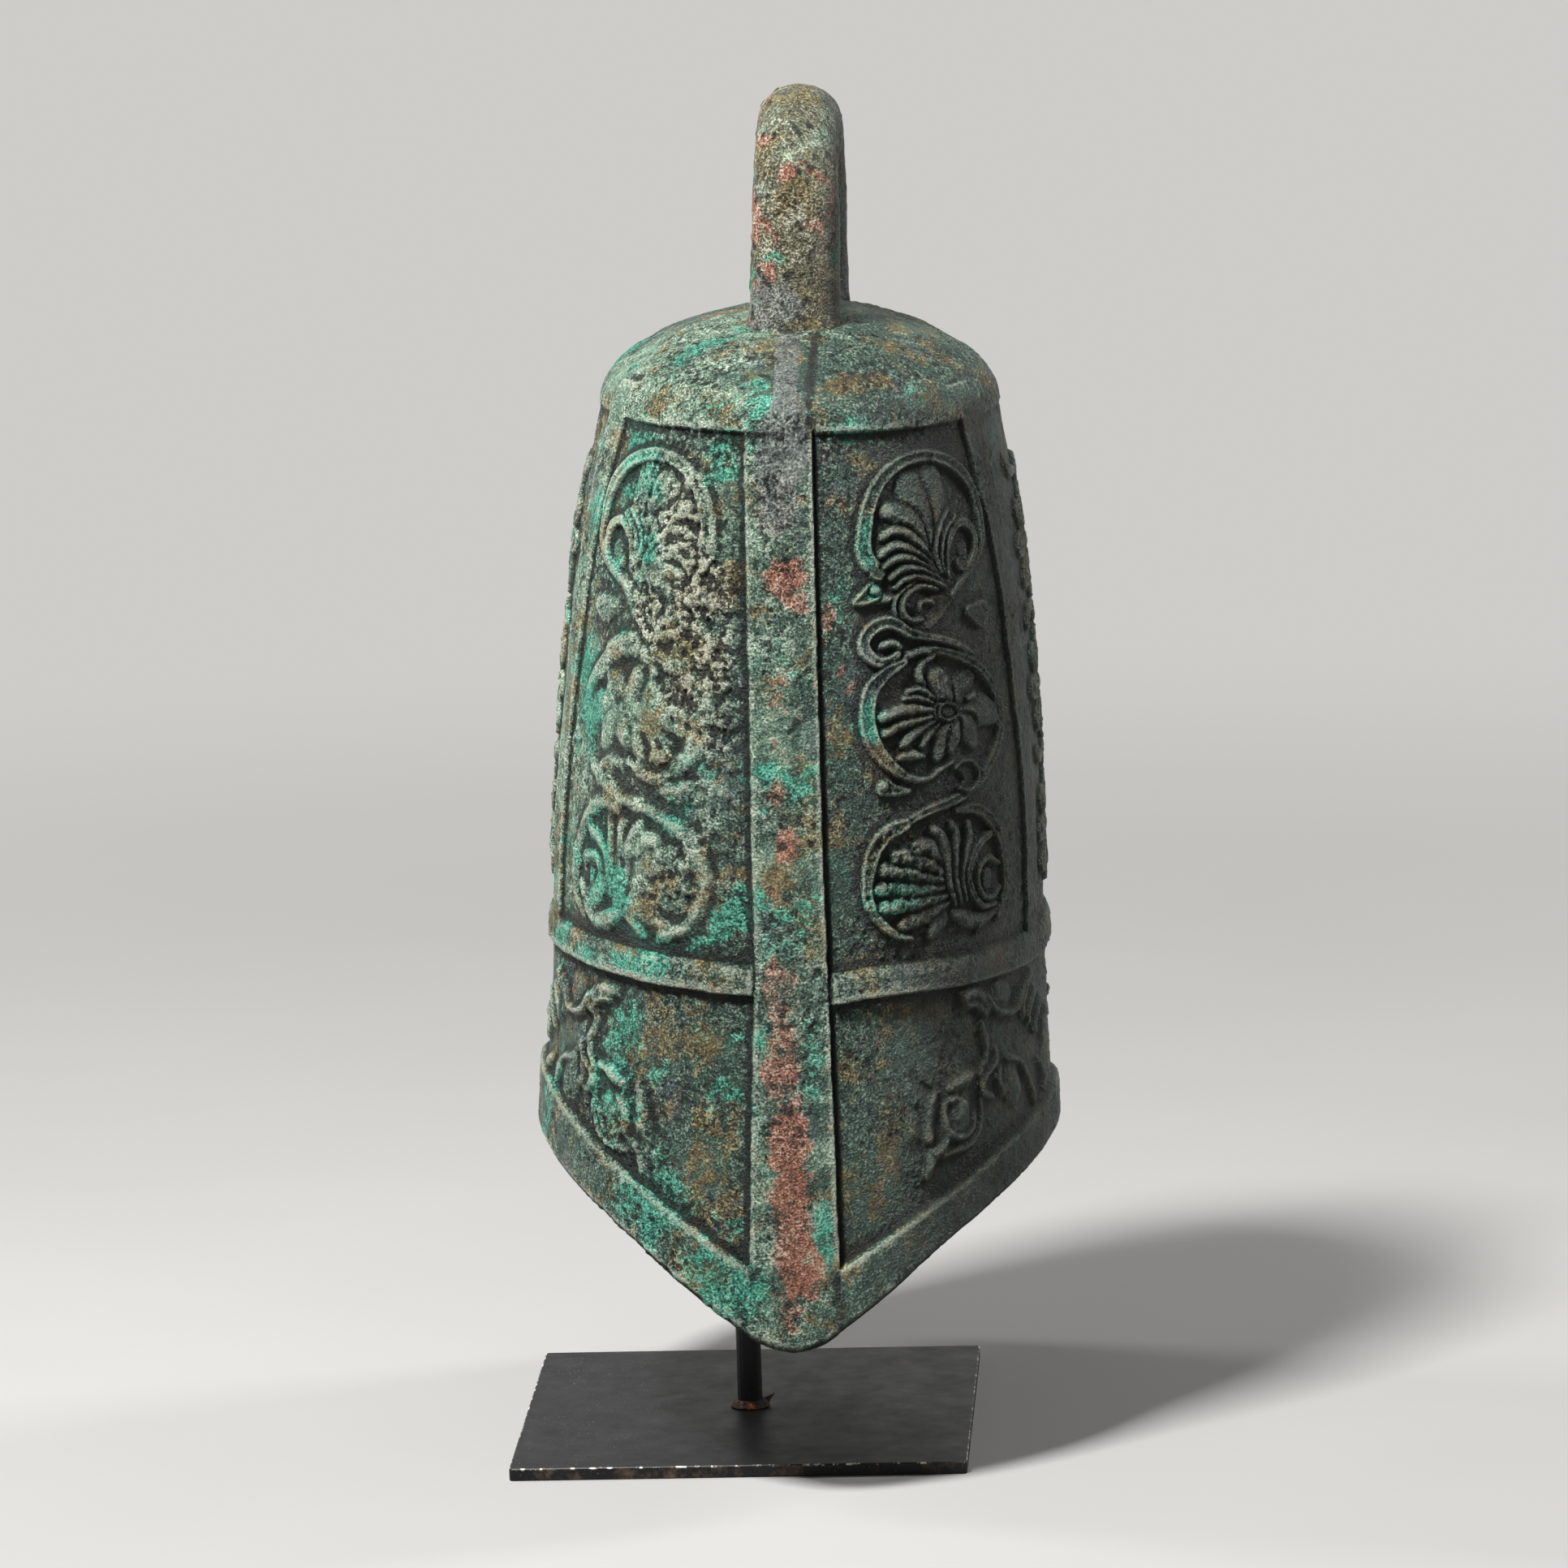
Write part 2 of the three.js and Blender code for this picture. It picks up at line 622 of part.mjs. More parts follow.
function upright(radius, height, base) {
  const geometry = new THREE.CylinderGeometry(radius, radius, height, roundSegments / 2);
  return geometry.rotateX(Math.PI / 2).translate(0, 0, base + height / 2);
}

function clapperRod() {
  const eyeRadius = clapperEyeInnerDiameter / 2 + rodRadius;
  const eye = new THREE.TorusGeometry(eyeRadius, rodRadius, roundSegments / 4, roundSegments / 2);
  eye.rotateY(Math.PI / 2).translate(0, 0, -eyeCentreDrop);
  const ballTop = ballHeight / 2 - clapperLength;
  const ballFoot = -ballHeight / 2 - clapperLength;
  const rodEnd = ballFoot - seatGap - rivetHeight;
  const rodTop = -eyeCentreDrop - eyeRadius;
  const pieces = [
    upright(rodRadius, rodTop - rodEnd, rodEnd),
    upright(rodCollarDiameter / 2, rodCollarHeight, ballTop + seatGap),
    upright(rodCollarDiameter / 2, rivetHeight, rodEnd),
  ];
  return toGeometry(pieces.reduce((whole, piece) => whole.add(toSolid(piece)), toSolid(eye)));
}

function clapperBall() {
  const bore = rodRadius + seatGap;
  const flat = rodCollarDiameter / 2;
  const rows = roundSegments / 4;
  const profile = [new THREE.Vector2(bore, -ballHeight / 2)];
  for (let k = 0; k <= rows; k += 1) {
    const angle = Math.PI * (k / rows - 1 / 2);
    const radius = lerp(flat, ballDiameter / 2, Math.cos(angle));
    profile.push(new THREE.Vector2(radius, (ballHeight / 2) * Math.sin(angle)));
  }
  profile.push(new THREE.Vector2(bore, ballHeight / 2), new THREE.Vector2(bore, -ballHeight / 2));
  const geometry = new THREE.LatheGeometry(profile, latheSegments);
  return geometry.rotateX(Math.PI / 2).translate(0, 0, -clapperLength);
}

// Stand

const plateTop = plateThickness;
const postRadius = postDiameter / 2;
const headHeight = apexHeight - headDrop;
const headHalfDepth = (shoulderHalfWidth - wallThickness) * depthRatio - headInset;
const headBase = plateTop + headHeight;
const headTop = headBase + headBarThickness;
const lean = radians(leanDegrees);
const headX = bellAxisX + Math.tan(lean) * (headHeight + headBarThickness);

function basePlate() {
  const half = plateSide / 2 - plateEdgeBevel;
  const round = plateCornerRadius;
  const outline = new THREE.Shape();
  const corners = [[1, -1], [1, 1], [-1, 1], [-1, -1]];
  corners.forEach(([sx, sy], k) => {
    const start = (k - 1) * (Math.PI / 2);
    outline.absarc(sx * (half - round), sy * (half - round), round, start, start + Math.PI / 2);
  });
  const geometry = new THREE.ExtrudeGeometry(outline, {
    depth: plateThickness - 2 * plateEdgeBevel,
    bevelThickness: plateEdgeBevel,
    bevelSize: plateEdgeBevel,
    bevelSegments: 1,
    curveSegments: roundSegments / 8,
  });
  return geometry.translate(0, 0, plateEdgeBevel);
}

// A fillet of weld round the post, on a face below it or, turned over, under a face above it
function weldBead(faceHeight, turned) {
  const inner = postRadius + seatGap;
  const profile = weldShares.map(([out, up]) => (
    new THREE.Vector2(inner + out * weldLeg, seatGap + up * weldLeg)
  ));
  const geometry = new THREE.LatheGeometry(profile, latheSegments).rotateX(Math.PI / 2);
  return (turned ? geometry.rotateX(Math.PI) : geometry).translate(0, 0, faceHeight);
}

function headRing() {
  const oval = (shape, offset) => shape.absellipse(
    headX, 0, headX + offset, headHalfDepth + offset, 0, 2 * Math.PI, false, 0,
  );
  const outline = oval(new THREE.Shape(), headBarWidth / 2);
  outline.holes.push(oval(new THREE.Path(), -headBarWidth / 2));
  const geometry = new THREE.ExtrudeGeometry(outline, {
    depth: headBarThickness, bevelEnabled: false, curveSegments: ovalSegments,
  });
  return geometry.translate(0, 0, headBase);
}

// Assembly

const assembly = new THREE.Group();
const bell = new THREE.Group();
const clapper = new THREE.Group();
bell.position.set(bellAxisX, 0, plateTop);
bell.rotation.y = lean;
bell.updateMatrixWorld(true);
clapper.position.copy(bell.localToWorld(new THREE.Vector3(0, 0, stapleBarHeight)));

function place(parent, name, geometry, look) {
  const mesh = new THREE.Mesh(geometry, new THREE.MeshStandardMaterial(look));
  mesh.name = name;
  parent.add(mesh);
}

// A pad stands on the head ring and reaches up to the leaning dome, which shapes its top
const leaningBell = toSolid(bellGeometry.clone().applyMatrix4(bell.matrixWorld));

function crownPad(x, y) {
  const ground = bell.worldToLocal(new THREE.Vector3(x, y, headTop));
  const reach = crownInside(ground.x, ground.y) - ground.z + crownThickness / 2;
  const blank = toSolid(upright(padDiameter / 2, reach, headTop + seatGap).translate(x, y, 0));
  return toGeometry(blank.subtract(leaningBell.translate(0, 0, -seatGap)));
}

place(assembly, "base_plate", basePlate(), blackPaint);
place(assembly, "stand_post", upright(postRadius, headHeight - 2 * seatGap, plateTop + seatGap), blackPaint);
place(assembly, "post_foot_weld", weldBead(plateTop, false), weldSteel);
place(assembly, "head_ring", headRing(), blackPaint);
place(assembly, "post_head_weld", weldBead(headBase, true), blackPaint);
place(assembly, "crown_pad_left", crownPad(0, 0), rubber);
place(assembly, "crown_pad_right", crownPad(2 * headX, 0), rubber);
place(assembly, "crown_pad_front", crownPad(headX, -headHalfDepth), rubber);
place(assembly, "crown_pad_rear", crownPad(headX, headHalfDepth), rubber);
place(bell, "bell_body", castBody(), bronze);
place(bell, "suspension_loop", suspensionLoop(), loopBronze);
place(bell, "clapper_staple", clapperStaple(), innerBronze);
place(clapper, "clapper_rod", clapperRod(), wroughtIron);
place(clapper, "clapper_ball", clapperBall(), innerBronze);
assembly.add(bell, clapper);

export default assembly;
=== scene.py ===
# Looks for the oval bronze temple bell on its steel display stand.
# Sizes are in millimetres in the bell's own frame, and become metres when a mesh is made.
import math

import bpy
import numpy as np
from mathutils import Matrix


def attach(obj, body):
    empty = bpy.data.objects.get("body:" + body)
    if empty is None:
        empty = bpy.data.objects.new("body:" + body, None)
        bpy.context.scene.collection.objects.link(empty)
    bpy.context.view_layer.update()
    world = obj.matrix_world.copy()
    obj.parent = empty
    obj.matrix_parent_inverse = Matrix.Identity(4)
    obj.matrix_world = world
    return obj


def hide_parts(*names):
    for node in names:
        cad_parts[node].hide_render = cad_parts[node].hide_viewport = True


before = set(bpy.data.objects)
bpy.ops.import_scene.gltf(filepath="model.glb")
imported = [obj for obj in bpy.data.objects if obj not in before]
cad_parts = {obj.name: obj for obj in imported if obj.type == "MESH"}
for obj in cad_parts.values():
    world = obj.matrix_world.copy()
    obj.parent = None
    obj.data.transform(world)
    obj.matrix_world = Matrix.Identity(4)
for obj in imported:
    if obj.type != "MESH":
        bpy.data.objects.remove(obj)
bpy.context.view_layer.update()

MM = 0.001

# Driving sizes, as in the part
PLATE_TOP = 6.35
PLATE_HALF = 228.6 / 2
BELL_X = 25
LEAN = math.radians(1.82)
TIP = 70.5
MOUTH_SIDE = 151
RIM_FRONT = TIP + 30.5
RIM_LEFT = MOUTH_SIDE + 37
RIM_RIGHT = MOUTH_SIDE + 26
RIDGE_TIP_X = 5.5
MID_LOW = 246.5
MID_HIGH = MID_LOW + 16
APEX = 566.5
DOME_RISE = 31.5
COLLAR_HIGH = APEX - DOME_RISE
COLLAR_LOW = COLLAR_HIGH - 16.5
BODY_RISE = COLLAR_LOW - TIP
MOUTH_HALF = 129.5
SHOULDER_HALF = 93.5
DEPTH = 1.26
WALL = 8
CROWN = 9
LOOP_CREST = APEX + 109.5
LOOP_SPAN = 58
LOOP_THICK = 34
# Body: shares of the rise and of the half width. Dome: shares of the half width and of the rise.
# Mouth: share of the way from tip to side, and of the rise there.
BODY_SHARES = ((0, 1), (0.18, 0.99), (0.4, 0.951), (0.55, 0.942), (0.72, 0.901), (0.87, 0.846),
               (1, 0.763))
DOME_SHARES = ((1, 0), (0.945, 0.15), (0.836, 0.37), (0.691, 0.62), (0.444, 0.86), (0.237, 0.96),
               (0, 1))
MOUTH_SHARES = ((0, 0), (0.06, 0.02), (0.12, 0.055), (0.19, 0.133), (0.35, 0.316), (0.6, 0.62),
                (1, 1))

# Camera of the photograph: turn, tilt, roll, aim, distance and lens, from the four corners of the
# stand's plate
TURN = math.radians(3.341)
TILT = math.radians(10.488)
ROLL = math.radians(-1.8434)
AIM_ACROSS = 27.392
AIM_UP = 317.333
DISTANCE = 4054.376
FOCAL_PIXELS = 9761.77
PHOTO_SIDE = 1932
SENSOR = 36

across = np.array([math.cos(TURN), math.sin(TURN), 0])
ahead = np.array([-math.sin(TURN), math.cos(TURN), 0])
UP = np.array([0, 0, 1.0])
forward = ahead * math.cos(TILT) - UP * math.sin(TILT)
upward = ahead * math.sin(TILT) + UP * math.cos(TILT)
image_right = across * math.cos(ROLL) + upward * math.sin(ROLL)
image_up = upward * math.cos(ROLL) - across * math.sin(ROLL)
eye = across * AIM_ACROSS + upward * AIM_UP - forward * DISTANCE + UP * PLATE_TOP


def bell_to_model(points):
    """From the leaning bell's own frame to the model's, in millimetres."""
    x, y, h = points[..., 0], points[..., 1], points[..., 2]
    c, s = math.cos(LEAN), math.sin(LEAN)
    return np.stack([BELL_X + c * x + s * h, y, PLATE_TOP - s * x + c * h], -1)


# Outline of the bell. Angles run round it from the front, to the right.


def smooth_at(table, place):
    """A smooth curve through pairs of place and value."""
    xs, ys = np.array(table, float).T
    steps = np.diff(ys) / np.diff(xs)
    slopes = np.concatenate([steps[:1], (ys[2:] - ys[:-2]) / (xs[2:] - xs[:-2]), steps[-1:]])
    place = np.clip(place, xs[0], xs[-1])
    k = np.clip(np.searchsorted(xs, place) - 1, 0, len(xs) - 2)
    run = xs[k + 1] - xs[k]
    t = (place - xs[k]) / run
    t2, t3 = t * t, t * t * t
    return ((2 * t3 - 3 * t2 + 1) * ys[k] + (t3 - 2 * t2 + t) * run * slopes[k]
            + (3 * t2 - 2 * t3) * ys[k + 1] + (t3 - t2) * run * slopes[k + 1])


def step(low, high, value):
    """0 up to low and 1 from high on, or the other way round where high is the lesser."""
    t = np.clip((value - low) / (high - low), 0, 1)
    return t * t * (3 - 2 * t)


def hump(value, middle, width):
    """1 at the middle, and less on both sides of it."""
    return np.exp(-((value - middle) / width) ** 2)


def body_half(height):
    return MOUTH_HALF * smooth_at(BODY_SHARES, (height - TIP) / BODY_RISE)


def oval_point(half, angle, height):
    """The point at an angle of the oval with this half width."""
    return np.stack([half * np.sin(angle), -DEPTH * half * np.cos(angle), height], -1)


def share_across(angle):
    """How far across an angle lies, from 0 at the mouth's tip to 1 at the side."""
    tip = RIDGE_TIP_X / MOUTH_HALF
    beside = np.sin(angle) - tip
    return np.where(beside < 0, -beside / (1 + tip), beside / (1 - tip))


def mouth_height(angle):
    return TIP + (MOUTH_SIDE - TIP) * smooth_at(MOUTH_SHARES, share_across(angle))


def rim_top(angle):
    side = np.where(np.sin(angle) * MOUTH_HALF < RIDGE_TIP_X, RIM_LEFT, RIM_RIGHT)
    return RIM_FRONT + (side - RIM_FRONT) * share_across(angle)


ARC_STEPS = 720


def running_total(rate, places):
    """The integral of a rate from the first place to each of them."""
    return np.concatenate([[0], np.cumsum((rate[1:] + rate[:-1]) / 2 * np.diff(places))])


arc_angles = np.linspace(0, math.pi / 2, ARC_STEPS)
arc_table = running_total(np.hypot(np.cos(arc_angles), DEPTH * np.sin(arc_angles)), arc_angles)


def arc(angle):
    """Length round the oval from the front, for a half width of one."""
    return np.interp(angle, arc_angles, arc_table)


def arc_each_way(angle):
    """The same length, with the sign of the angle."""
    return np.sign(angle) * arc(np.abs(angle))


# Noise


def lattice(ix, iy, iz, seed):
    """A fixed value from -1 to 1 for each point of a lattice."""
    n = ix.astype(np.uint32) * np.uint32(0x8DA6B343)
    n ^= iy.astype(np.uint32) * np.uint32(0xD8163841)
    n ^= iz.astype(np.uint32) * np.uint32(0xCB1AB31F)
    n ^= np.uint32((seed * 0x9E3779B9) & 0xFFFFFFFF)
    for shift, factor in ((15, 0x2C1B3C6D), (12, 0x297A2D39)):
        n ^= n >> np.uint32(shift)
        n *= np.uint32(factor)
    n ^= n >> np.uint32(15)
    return n.astype(np.float32) / np.float32(2 ** 31) - 1


def noise(points, size, seed):
    """Smooth noise from -1 to 1 with lumps of the given size."""
    turned = points @ np.array([[0.8, 0.36, -0.48], [0, 0.8, 0.6], [0.6, -0.48, 0.64]])
    p = (turned / size + 1000).astype(np.float32)
    cell = np.floor(p)
    f = p - cell
    f = f * f * (3 - 2 * f)
    i = cell.astype(np.int64)
    total = 0
    for dx in (0, 1):
        wx = f[..., 0] if dx else 1 - f[..., 0]
        for dy in (0, 1):
            wy = f[..., 1] if dy else 1 - f[..., 1]
            for dz in (0, 1):
                wz = f[..., 2] if dz else 1 - f[..., 2]
                corner = lattice(i[..., 0] + dx, i[..., 1] + dy, i[..., 2] + dz, seed)
                total = total + wx * wy * wz * corner
    return total


def layered(points, size, octaves, seed, fall=0.55):
    """Noise in octaves, each half the size of the one before and weaker by the share fall."""
    total, weight, sum_of_weights = 0, 1, 0
    for k in range(octaves):
        total = total + weight * noise(points, size / 2 ** k, seed + k)
        sum_of_weights += weight
        weight *= fall
    return total / sum_of_weights


def grid_blur(field, radius):
    """Mean over a square window of the grid that closes round the bell."""
    out = field
    width = 2 * radius + 1
    for axis, mode in ((0, "edge"), (1, "wrap")):
        pad = [(0, 0), (0, 0)]
        pad[axis] = (radius + 1, radius)
        sums = np.cumsum(np.pad(out, pad, mode), axis)
        size = out.shape[axis]
        ends = np.take(sums, range(width, width + size), axis)
        out = (ends - np.take(sums, range(size), axis)) / width
    return out


# Raised drawing on a flat sheet: s is the length round the bell from the front, h the height.
# The guess is the mouth's tip in the photograph, with the bell's half width and pixels per mm.
GUESS_PIXEL = (985, 1650)
GUESS_HEIGHT = 75
GUESS_HALF = 300
GUESS_SCALE = 2.41


def photo_pixel(angle, height):
    seen = bell_to_model(oval_point(body_half(height), angle, height)) - eye
    depth = seen @ forward
    middle = PHOTO_SIDE / 2
    return np.stack([middle + FOCAL_PIXELS * (seen @ image_right) / depth,
                     middle - FOCAL_PIXELS * (seen @ image_up) / depth], -1)


def on_bell(pixels):
    """Angle and height of the surface points that the photograph shows at these pixels, by
    Newton's method from a rough guess."""
    pixels = np.array(pixels, float)
    height = GUESS_HEIGHT + (GUESS_PIXEL[1] - pixels[:, 1]) / GUESS_SCALE
    angle = np.arcsin(np.clip((pixels[:, 0] - GUESS_PIXEL[0]) / GUESS_HALF, -0.95, 0.95))
    nudge = 1e-3
    for _ in range(12):
        here = photo_pixel(angle, height)
        by_angle = (photo_pixel(angle + nudge, height) - here) / nudge
        by_height = photo_pixel(angle, height + 1) - here
        miss = pixels - here
        det = by_angle[:, 0] * by_height[:, 1] - by_angle[:, 1] * by_height[:, 0]
        da = (miss[:, 0] * by_height[:, 1] - miss[:, 1] * by_height[:, 0]) / det
        dh = (by_angle[:, 0] * miss[:, 1] - by_angle[:, 1] * miss[:, 0]) / det
        angle = np.clip(angle + np.clip(da, -0.3, 0.3), -1.5, 1.5)
        height = np.clip(height + np.clip(dh, -60, 60), TIP, COLLAR_LOW)
    return angle, height


def on_sheet(pixels):
    angle, height = on_bell(pixels)
    return np.stack([body_half(height) * arc_each_way(angle), height], -1)


def curve_through(points, spacing):
    """Dense points on a smooth curve through the given ones, and the share of the way at each."""
    p = np.array(points, float)
    if len(p) < 3:
        t = np.linspace(0, 1, max(2, int(np.hypot(*(p[-1] - p[0])) / spacing) + 1))
        return p[0] + (p[-1] - p[0]) * t[:, None], t
    ends = np.concatenate([[2 * p[0] - p[1]], p, [2 * p[-1] - p[-2]]])
    out = []
    for k in range(1, len(ends) - 2):
        a, b, c, d = ends[k - 1:k + 3]
        count = max(2, int(np.hypot(*(c - b)) / spacing))
        t = np.linspace(0, 1, count, endpoint=False)[:, None]
        out.append(0.5 * (2 * b + (c - a) * t + (2 * a - 5 * b + 4 * c - d) * t * t
                          + (3 * b - a - 3 * c + d) * t * t * t))
    out.append(p[-1:])
    dense = np.concatenate(out)
    run = np.concatenate([[0], np.cumsum(np.hypot(*np.diff(dense, axis=0).T))])
    return dense, run / run[-1]


class Sheet:
    """A height field that strokes are laid on, in the order in which they overlap."""

    PITCH = 0.4
    STROKE_SPACING = 1.6
    GROOVE_FLOOR = 0.25

    def __init__(self, s_range, h_range):
        self.low, high = np.array([s_range, h_range]).T
        self.size = tuple(int(reach / self.PITCH) + 1 for reach in high - self.low)
        self.field = np.zeros(self.size, np.float32)

    def stroke(self, points, width, raise_, profile="round", groove=1.0):
        """A stroke of the given half widths along its way. Earlier work beside it is cut back to a
        groove."""
        dense, share = curve_through(points, self.STROKE_SPACING)
        widths = np.interp(share, np.linspace(0, 1, len(width)), width)
        margin = max(width) + groove + 1
        first = ((dense.min(0) - margin - self.low) / self.PITCH).astype(int)
        last = ((dense.max(0) + margin - self.low) / self.PITCH).astype(int) + 1
        first = np.clip(first, 0, np.array(self.size) - 1)
        last = np.clip(last, 1, self.size)
        window = (slice(first[0], last[0]), slice(first[1], last[1]))
        s, h = np.meshgrid(*(low + self.PITCH * np.arange(a, b)
                             for low, a, b in zip(self.low, first, last)), indexing="ij")
        outside = np.full(s.shape, 1e9)
        middle = np.zeros(s.shape)
        for k in range(len(dense) - 1):
            a, d = dense[k], dense[k + 1] - dense[k]
            t = np.clip(((s - a[0]) * d[0] + (h - a[1]) * d[1]) / max(d @ d, 1e-9), 0, 1)
            away = np.hypot(s - a[0] - t * d[0], h - a[1] - t * d[1])
            half = widths[k] + (widths[k + 1] - widths[k]) * t
            nearer = away - half < outside
            outside = np.where(nearer, away - half, outside)
            middle = np.where(nearer, away / np.maximum(half, 0.05), middle)
        body = np.clip(middle, 0, 1)
        shape = {
            "round": np.sqrt(1 - 0.9 * body * body),
            "rimmed": 0.62 + 0.38 * hump(outside, -1.1, 0.8),
            "dished": 0.45 + 0.55 * body ** 3,
            "flat": np.ones_like(body),
        }[profile]
        edge = step(0.35, -0.35, outside)
        floor = self.GROOVE_FLOOR + (1 - self.GROOVE_FLOOR) * step(0, groove, outside)
        cut = self.field[window] * floor
        self.field[window] = np.maximum(cut * (1 - edge) + raise_ * shape * edge, 0)

    def soften(self, radius):
        """Rounds the edges off, as wear does, by a mean over a few cells each way."""
        for axis in (0, 1):
            out = np.zeros_like(self.field)
            for shift in range(-radius, radius + 1):
                out += np.roll(self.field, shift, axis)
            self.field = out / (2 * radius + 1)

    def at(self, s, h):
        """Height of the drawing at points, by bilinear reading."""
        i, j = (s - self.low[0]) / self.PITCH, (h - self.low[1]) / self.PITCH
        inside = (i >= 0) & (j >= 0) & (i < self.size[0] - 1) & (j < self.size[1] - 1)
        i, j = np.clip(i, 0, self.size[0] - 2), np.clip(j, 0, self.size[1] - 2)
        a, b = i.astype(int), j.astype(int)
        u, v = i - a, j - b
        f = self.field
        value = ((f[a, b] * (1 - u) + f[a + 1, b] * u) * (1 - v)
                 + (f[a, b + 1] * (1 - u) + f[a + 1, b + 1] * u) * v)
        return np.where(inside, value, 0)


# Scrolling vine of the upper register, right of the front band. Each stroke has its points as
# pixels read off the photograph, then its half widths, its height and its profile.
VINE_TOP = (
    (((1080, 706), (1064, 684), (1064, 652), (1070, 620), (1084, 592), (1104, 573), (1124, 564),
     (1144, 563), (1166, 570), (1184, 586), (1197, 610), (1204, 640), (1205, 668), (1197, 692),
     (1184, 712), (1170, 732), (1166, 744)), (4.4, 4.2, 3.6, 3.2, 3.4, 3, 2.2, 1.8), 2.9, "rimmed"),
    # fan of the palmette: two broad lobes above, five slender ones below
    (((1150, 690), (1152, 650), (1150, 620), (1142, 594)), (2, 6, 9, 9), 2.2),
    (((1144, 690), (1136, 650), (1126, 620), (1118, 600)), (2, 6, 8.5, 8), 2.6),
    (((1142, 686), (1126, 652), (1106, 634), (1092, 630)), (2, 5, 6.4, 4.6), 2.9),
    (((1148, 694), (1134, 674), (1114, 657), (1098, 654), (1086, 662)), (1, 2, 2.8, 3, 2.4), 3),
    (((1152, 702), (1132, 686), (1112, 675), (1098, 673), (1084, 684)), (1, 2, 2.8, 3, 2.6), 3),
    (((1156, 709), (1134, 696), (1116, 688), (1102, 688), (1088, 698)), (1, 1.8, 2.4, 2.6, 2.2), 3),
    (((1160, 716), (1140, 706), (1122, 700), (1108, 702), (1096, 712)), (1, 1.8, 2.2, 2.4, 2), 3),
    (((1164, 724), (1146, 716), (1128, 711), (1112, 714), (1102, 724)), (1, 1.8, 2.2, 2.2, 1.8), 3),
    # scroll leaf on the right with its ribs
    (((1158, 706), (1150, 676), (1155, 648), (1164, 628)), (1.2, 1.8, 2, 1.4), 2.8),
    (((1162, 706), (1157, 680), (1162, 654), (1174, 636)), (1.2, 1.8, 2, 1.6), 2.8),
    (((1166, 708), (1164, 684), (1168, 660), (1180, 644), (1192, 650), (1197, 668), (1194, 688),
     (1184, 700), (1176, 692)), (1.2, 1.8, 2.2, 2.4, 2.4, 2.2, 2, 1.6), 3, "rimmed"),
    (((1184, 676), (1184, 690)), (3.2, 3.2), 2.2, "dished"),
    # bud, round leaf and knob under the roundel
    (((1100, 738), (1088, 738), (1074, 736)), (2, 2.6, 4), 2.2),
    (((1054, 742), (1062, 738), (1074, 730)), (2.2, 4, 5), 3.2, "rimmed"),
    (((1075, 727), (1077, 728)), (2.6, 2.6), 4),
    (((1164, 742), (1150, 750), (1138, 756), (1124, 750)), (2.4, 6.5, 8.5, 8.5), 2, "dished"),
    (((1152, 726), (1136, 722), (1122, 726), (1112, 738), (1110, 752), (1120, 764), (1136, 764)),
     (1.2, 1.8, 2.2, 2.4, 2.2, 1.8, 1.2), 3),
    (((1126, 716), (1112, 726), (1102, 738), (1100, 752), (1108, 766), (1120, 774)),
     (0.8, 1.2, 1.4, 1.4, 1.2, 0.8), 2.6),
    (((1148, 744), (1140, 740), (1130, 744), (1132, 752)), (1.4, 1.8, 1.8, 1.4), 2.8),
    (((1190, 752), (1205, 756)), (3, 7), 2.6, "rimmed"),
    # waving stem that starts in a hooked volute
    (((1104, 806), (1092, 815), (1078, 815), (1066, 804), (1063, 790), (1074, 774), (1092, 767),
     (1106, 772), (1118, 780), (1136, 784), (1158, 788), (1178, 795), (1194, 806)),
     (2, 2.6, 3.2, 3.4, 3.6, 3.4, 3, 2.6, 2.2, 2.2, 2.2, 2, 1.8), 3.2, "rimmed"),
    (((1086, 796), (1098, 792), (1108, 798)), (2, 2.2, 1.6), 2.6),
)
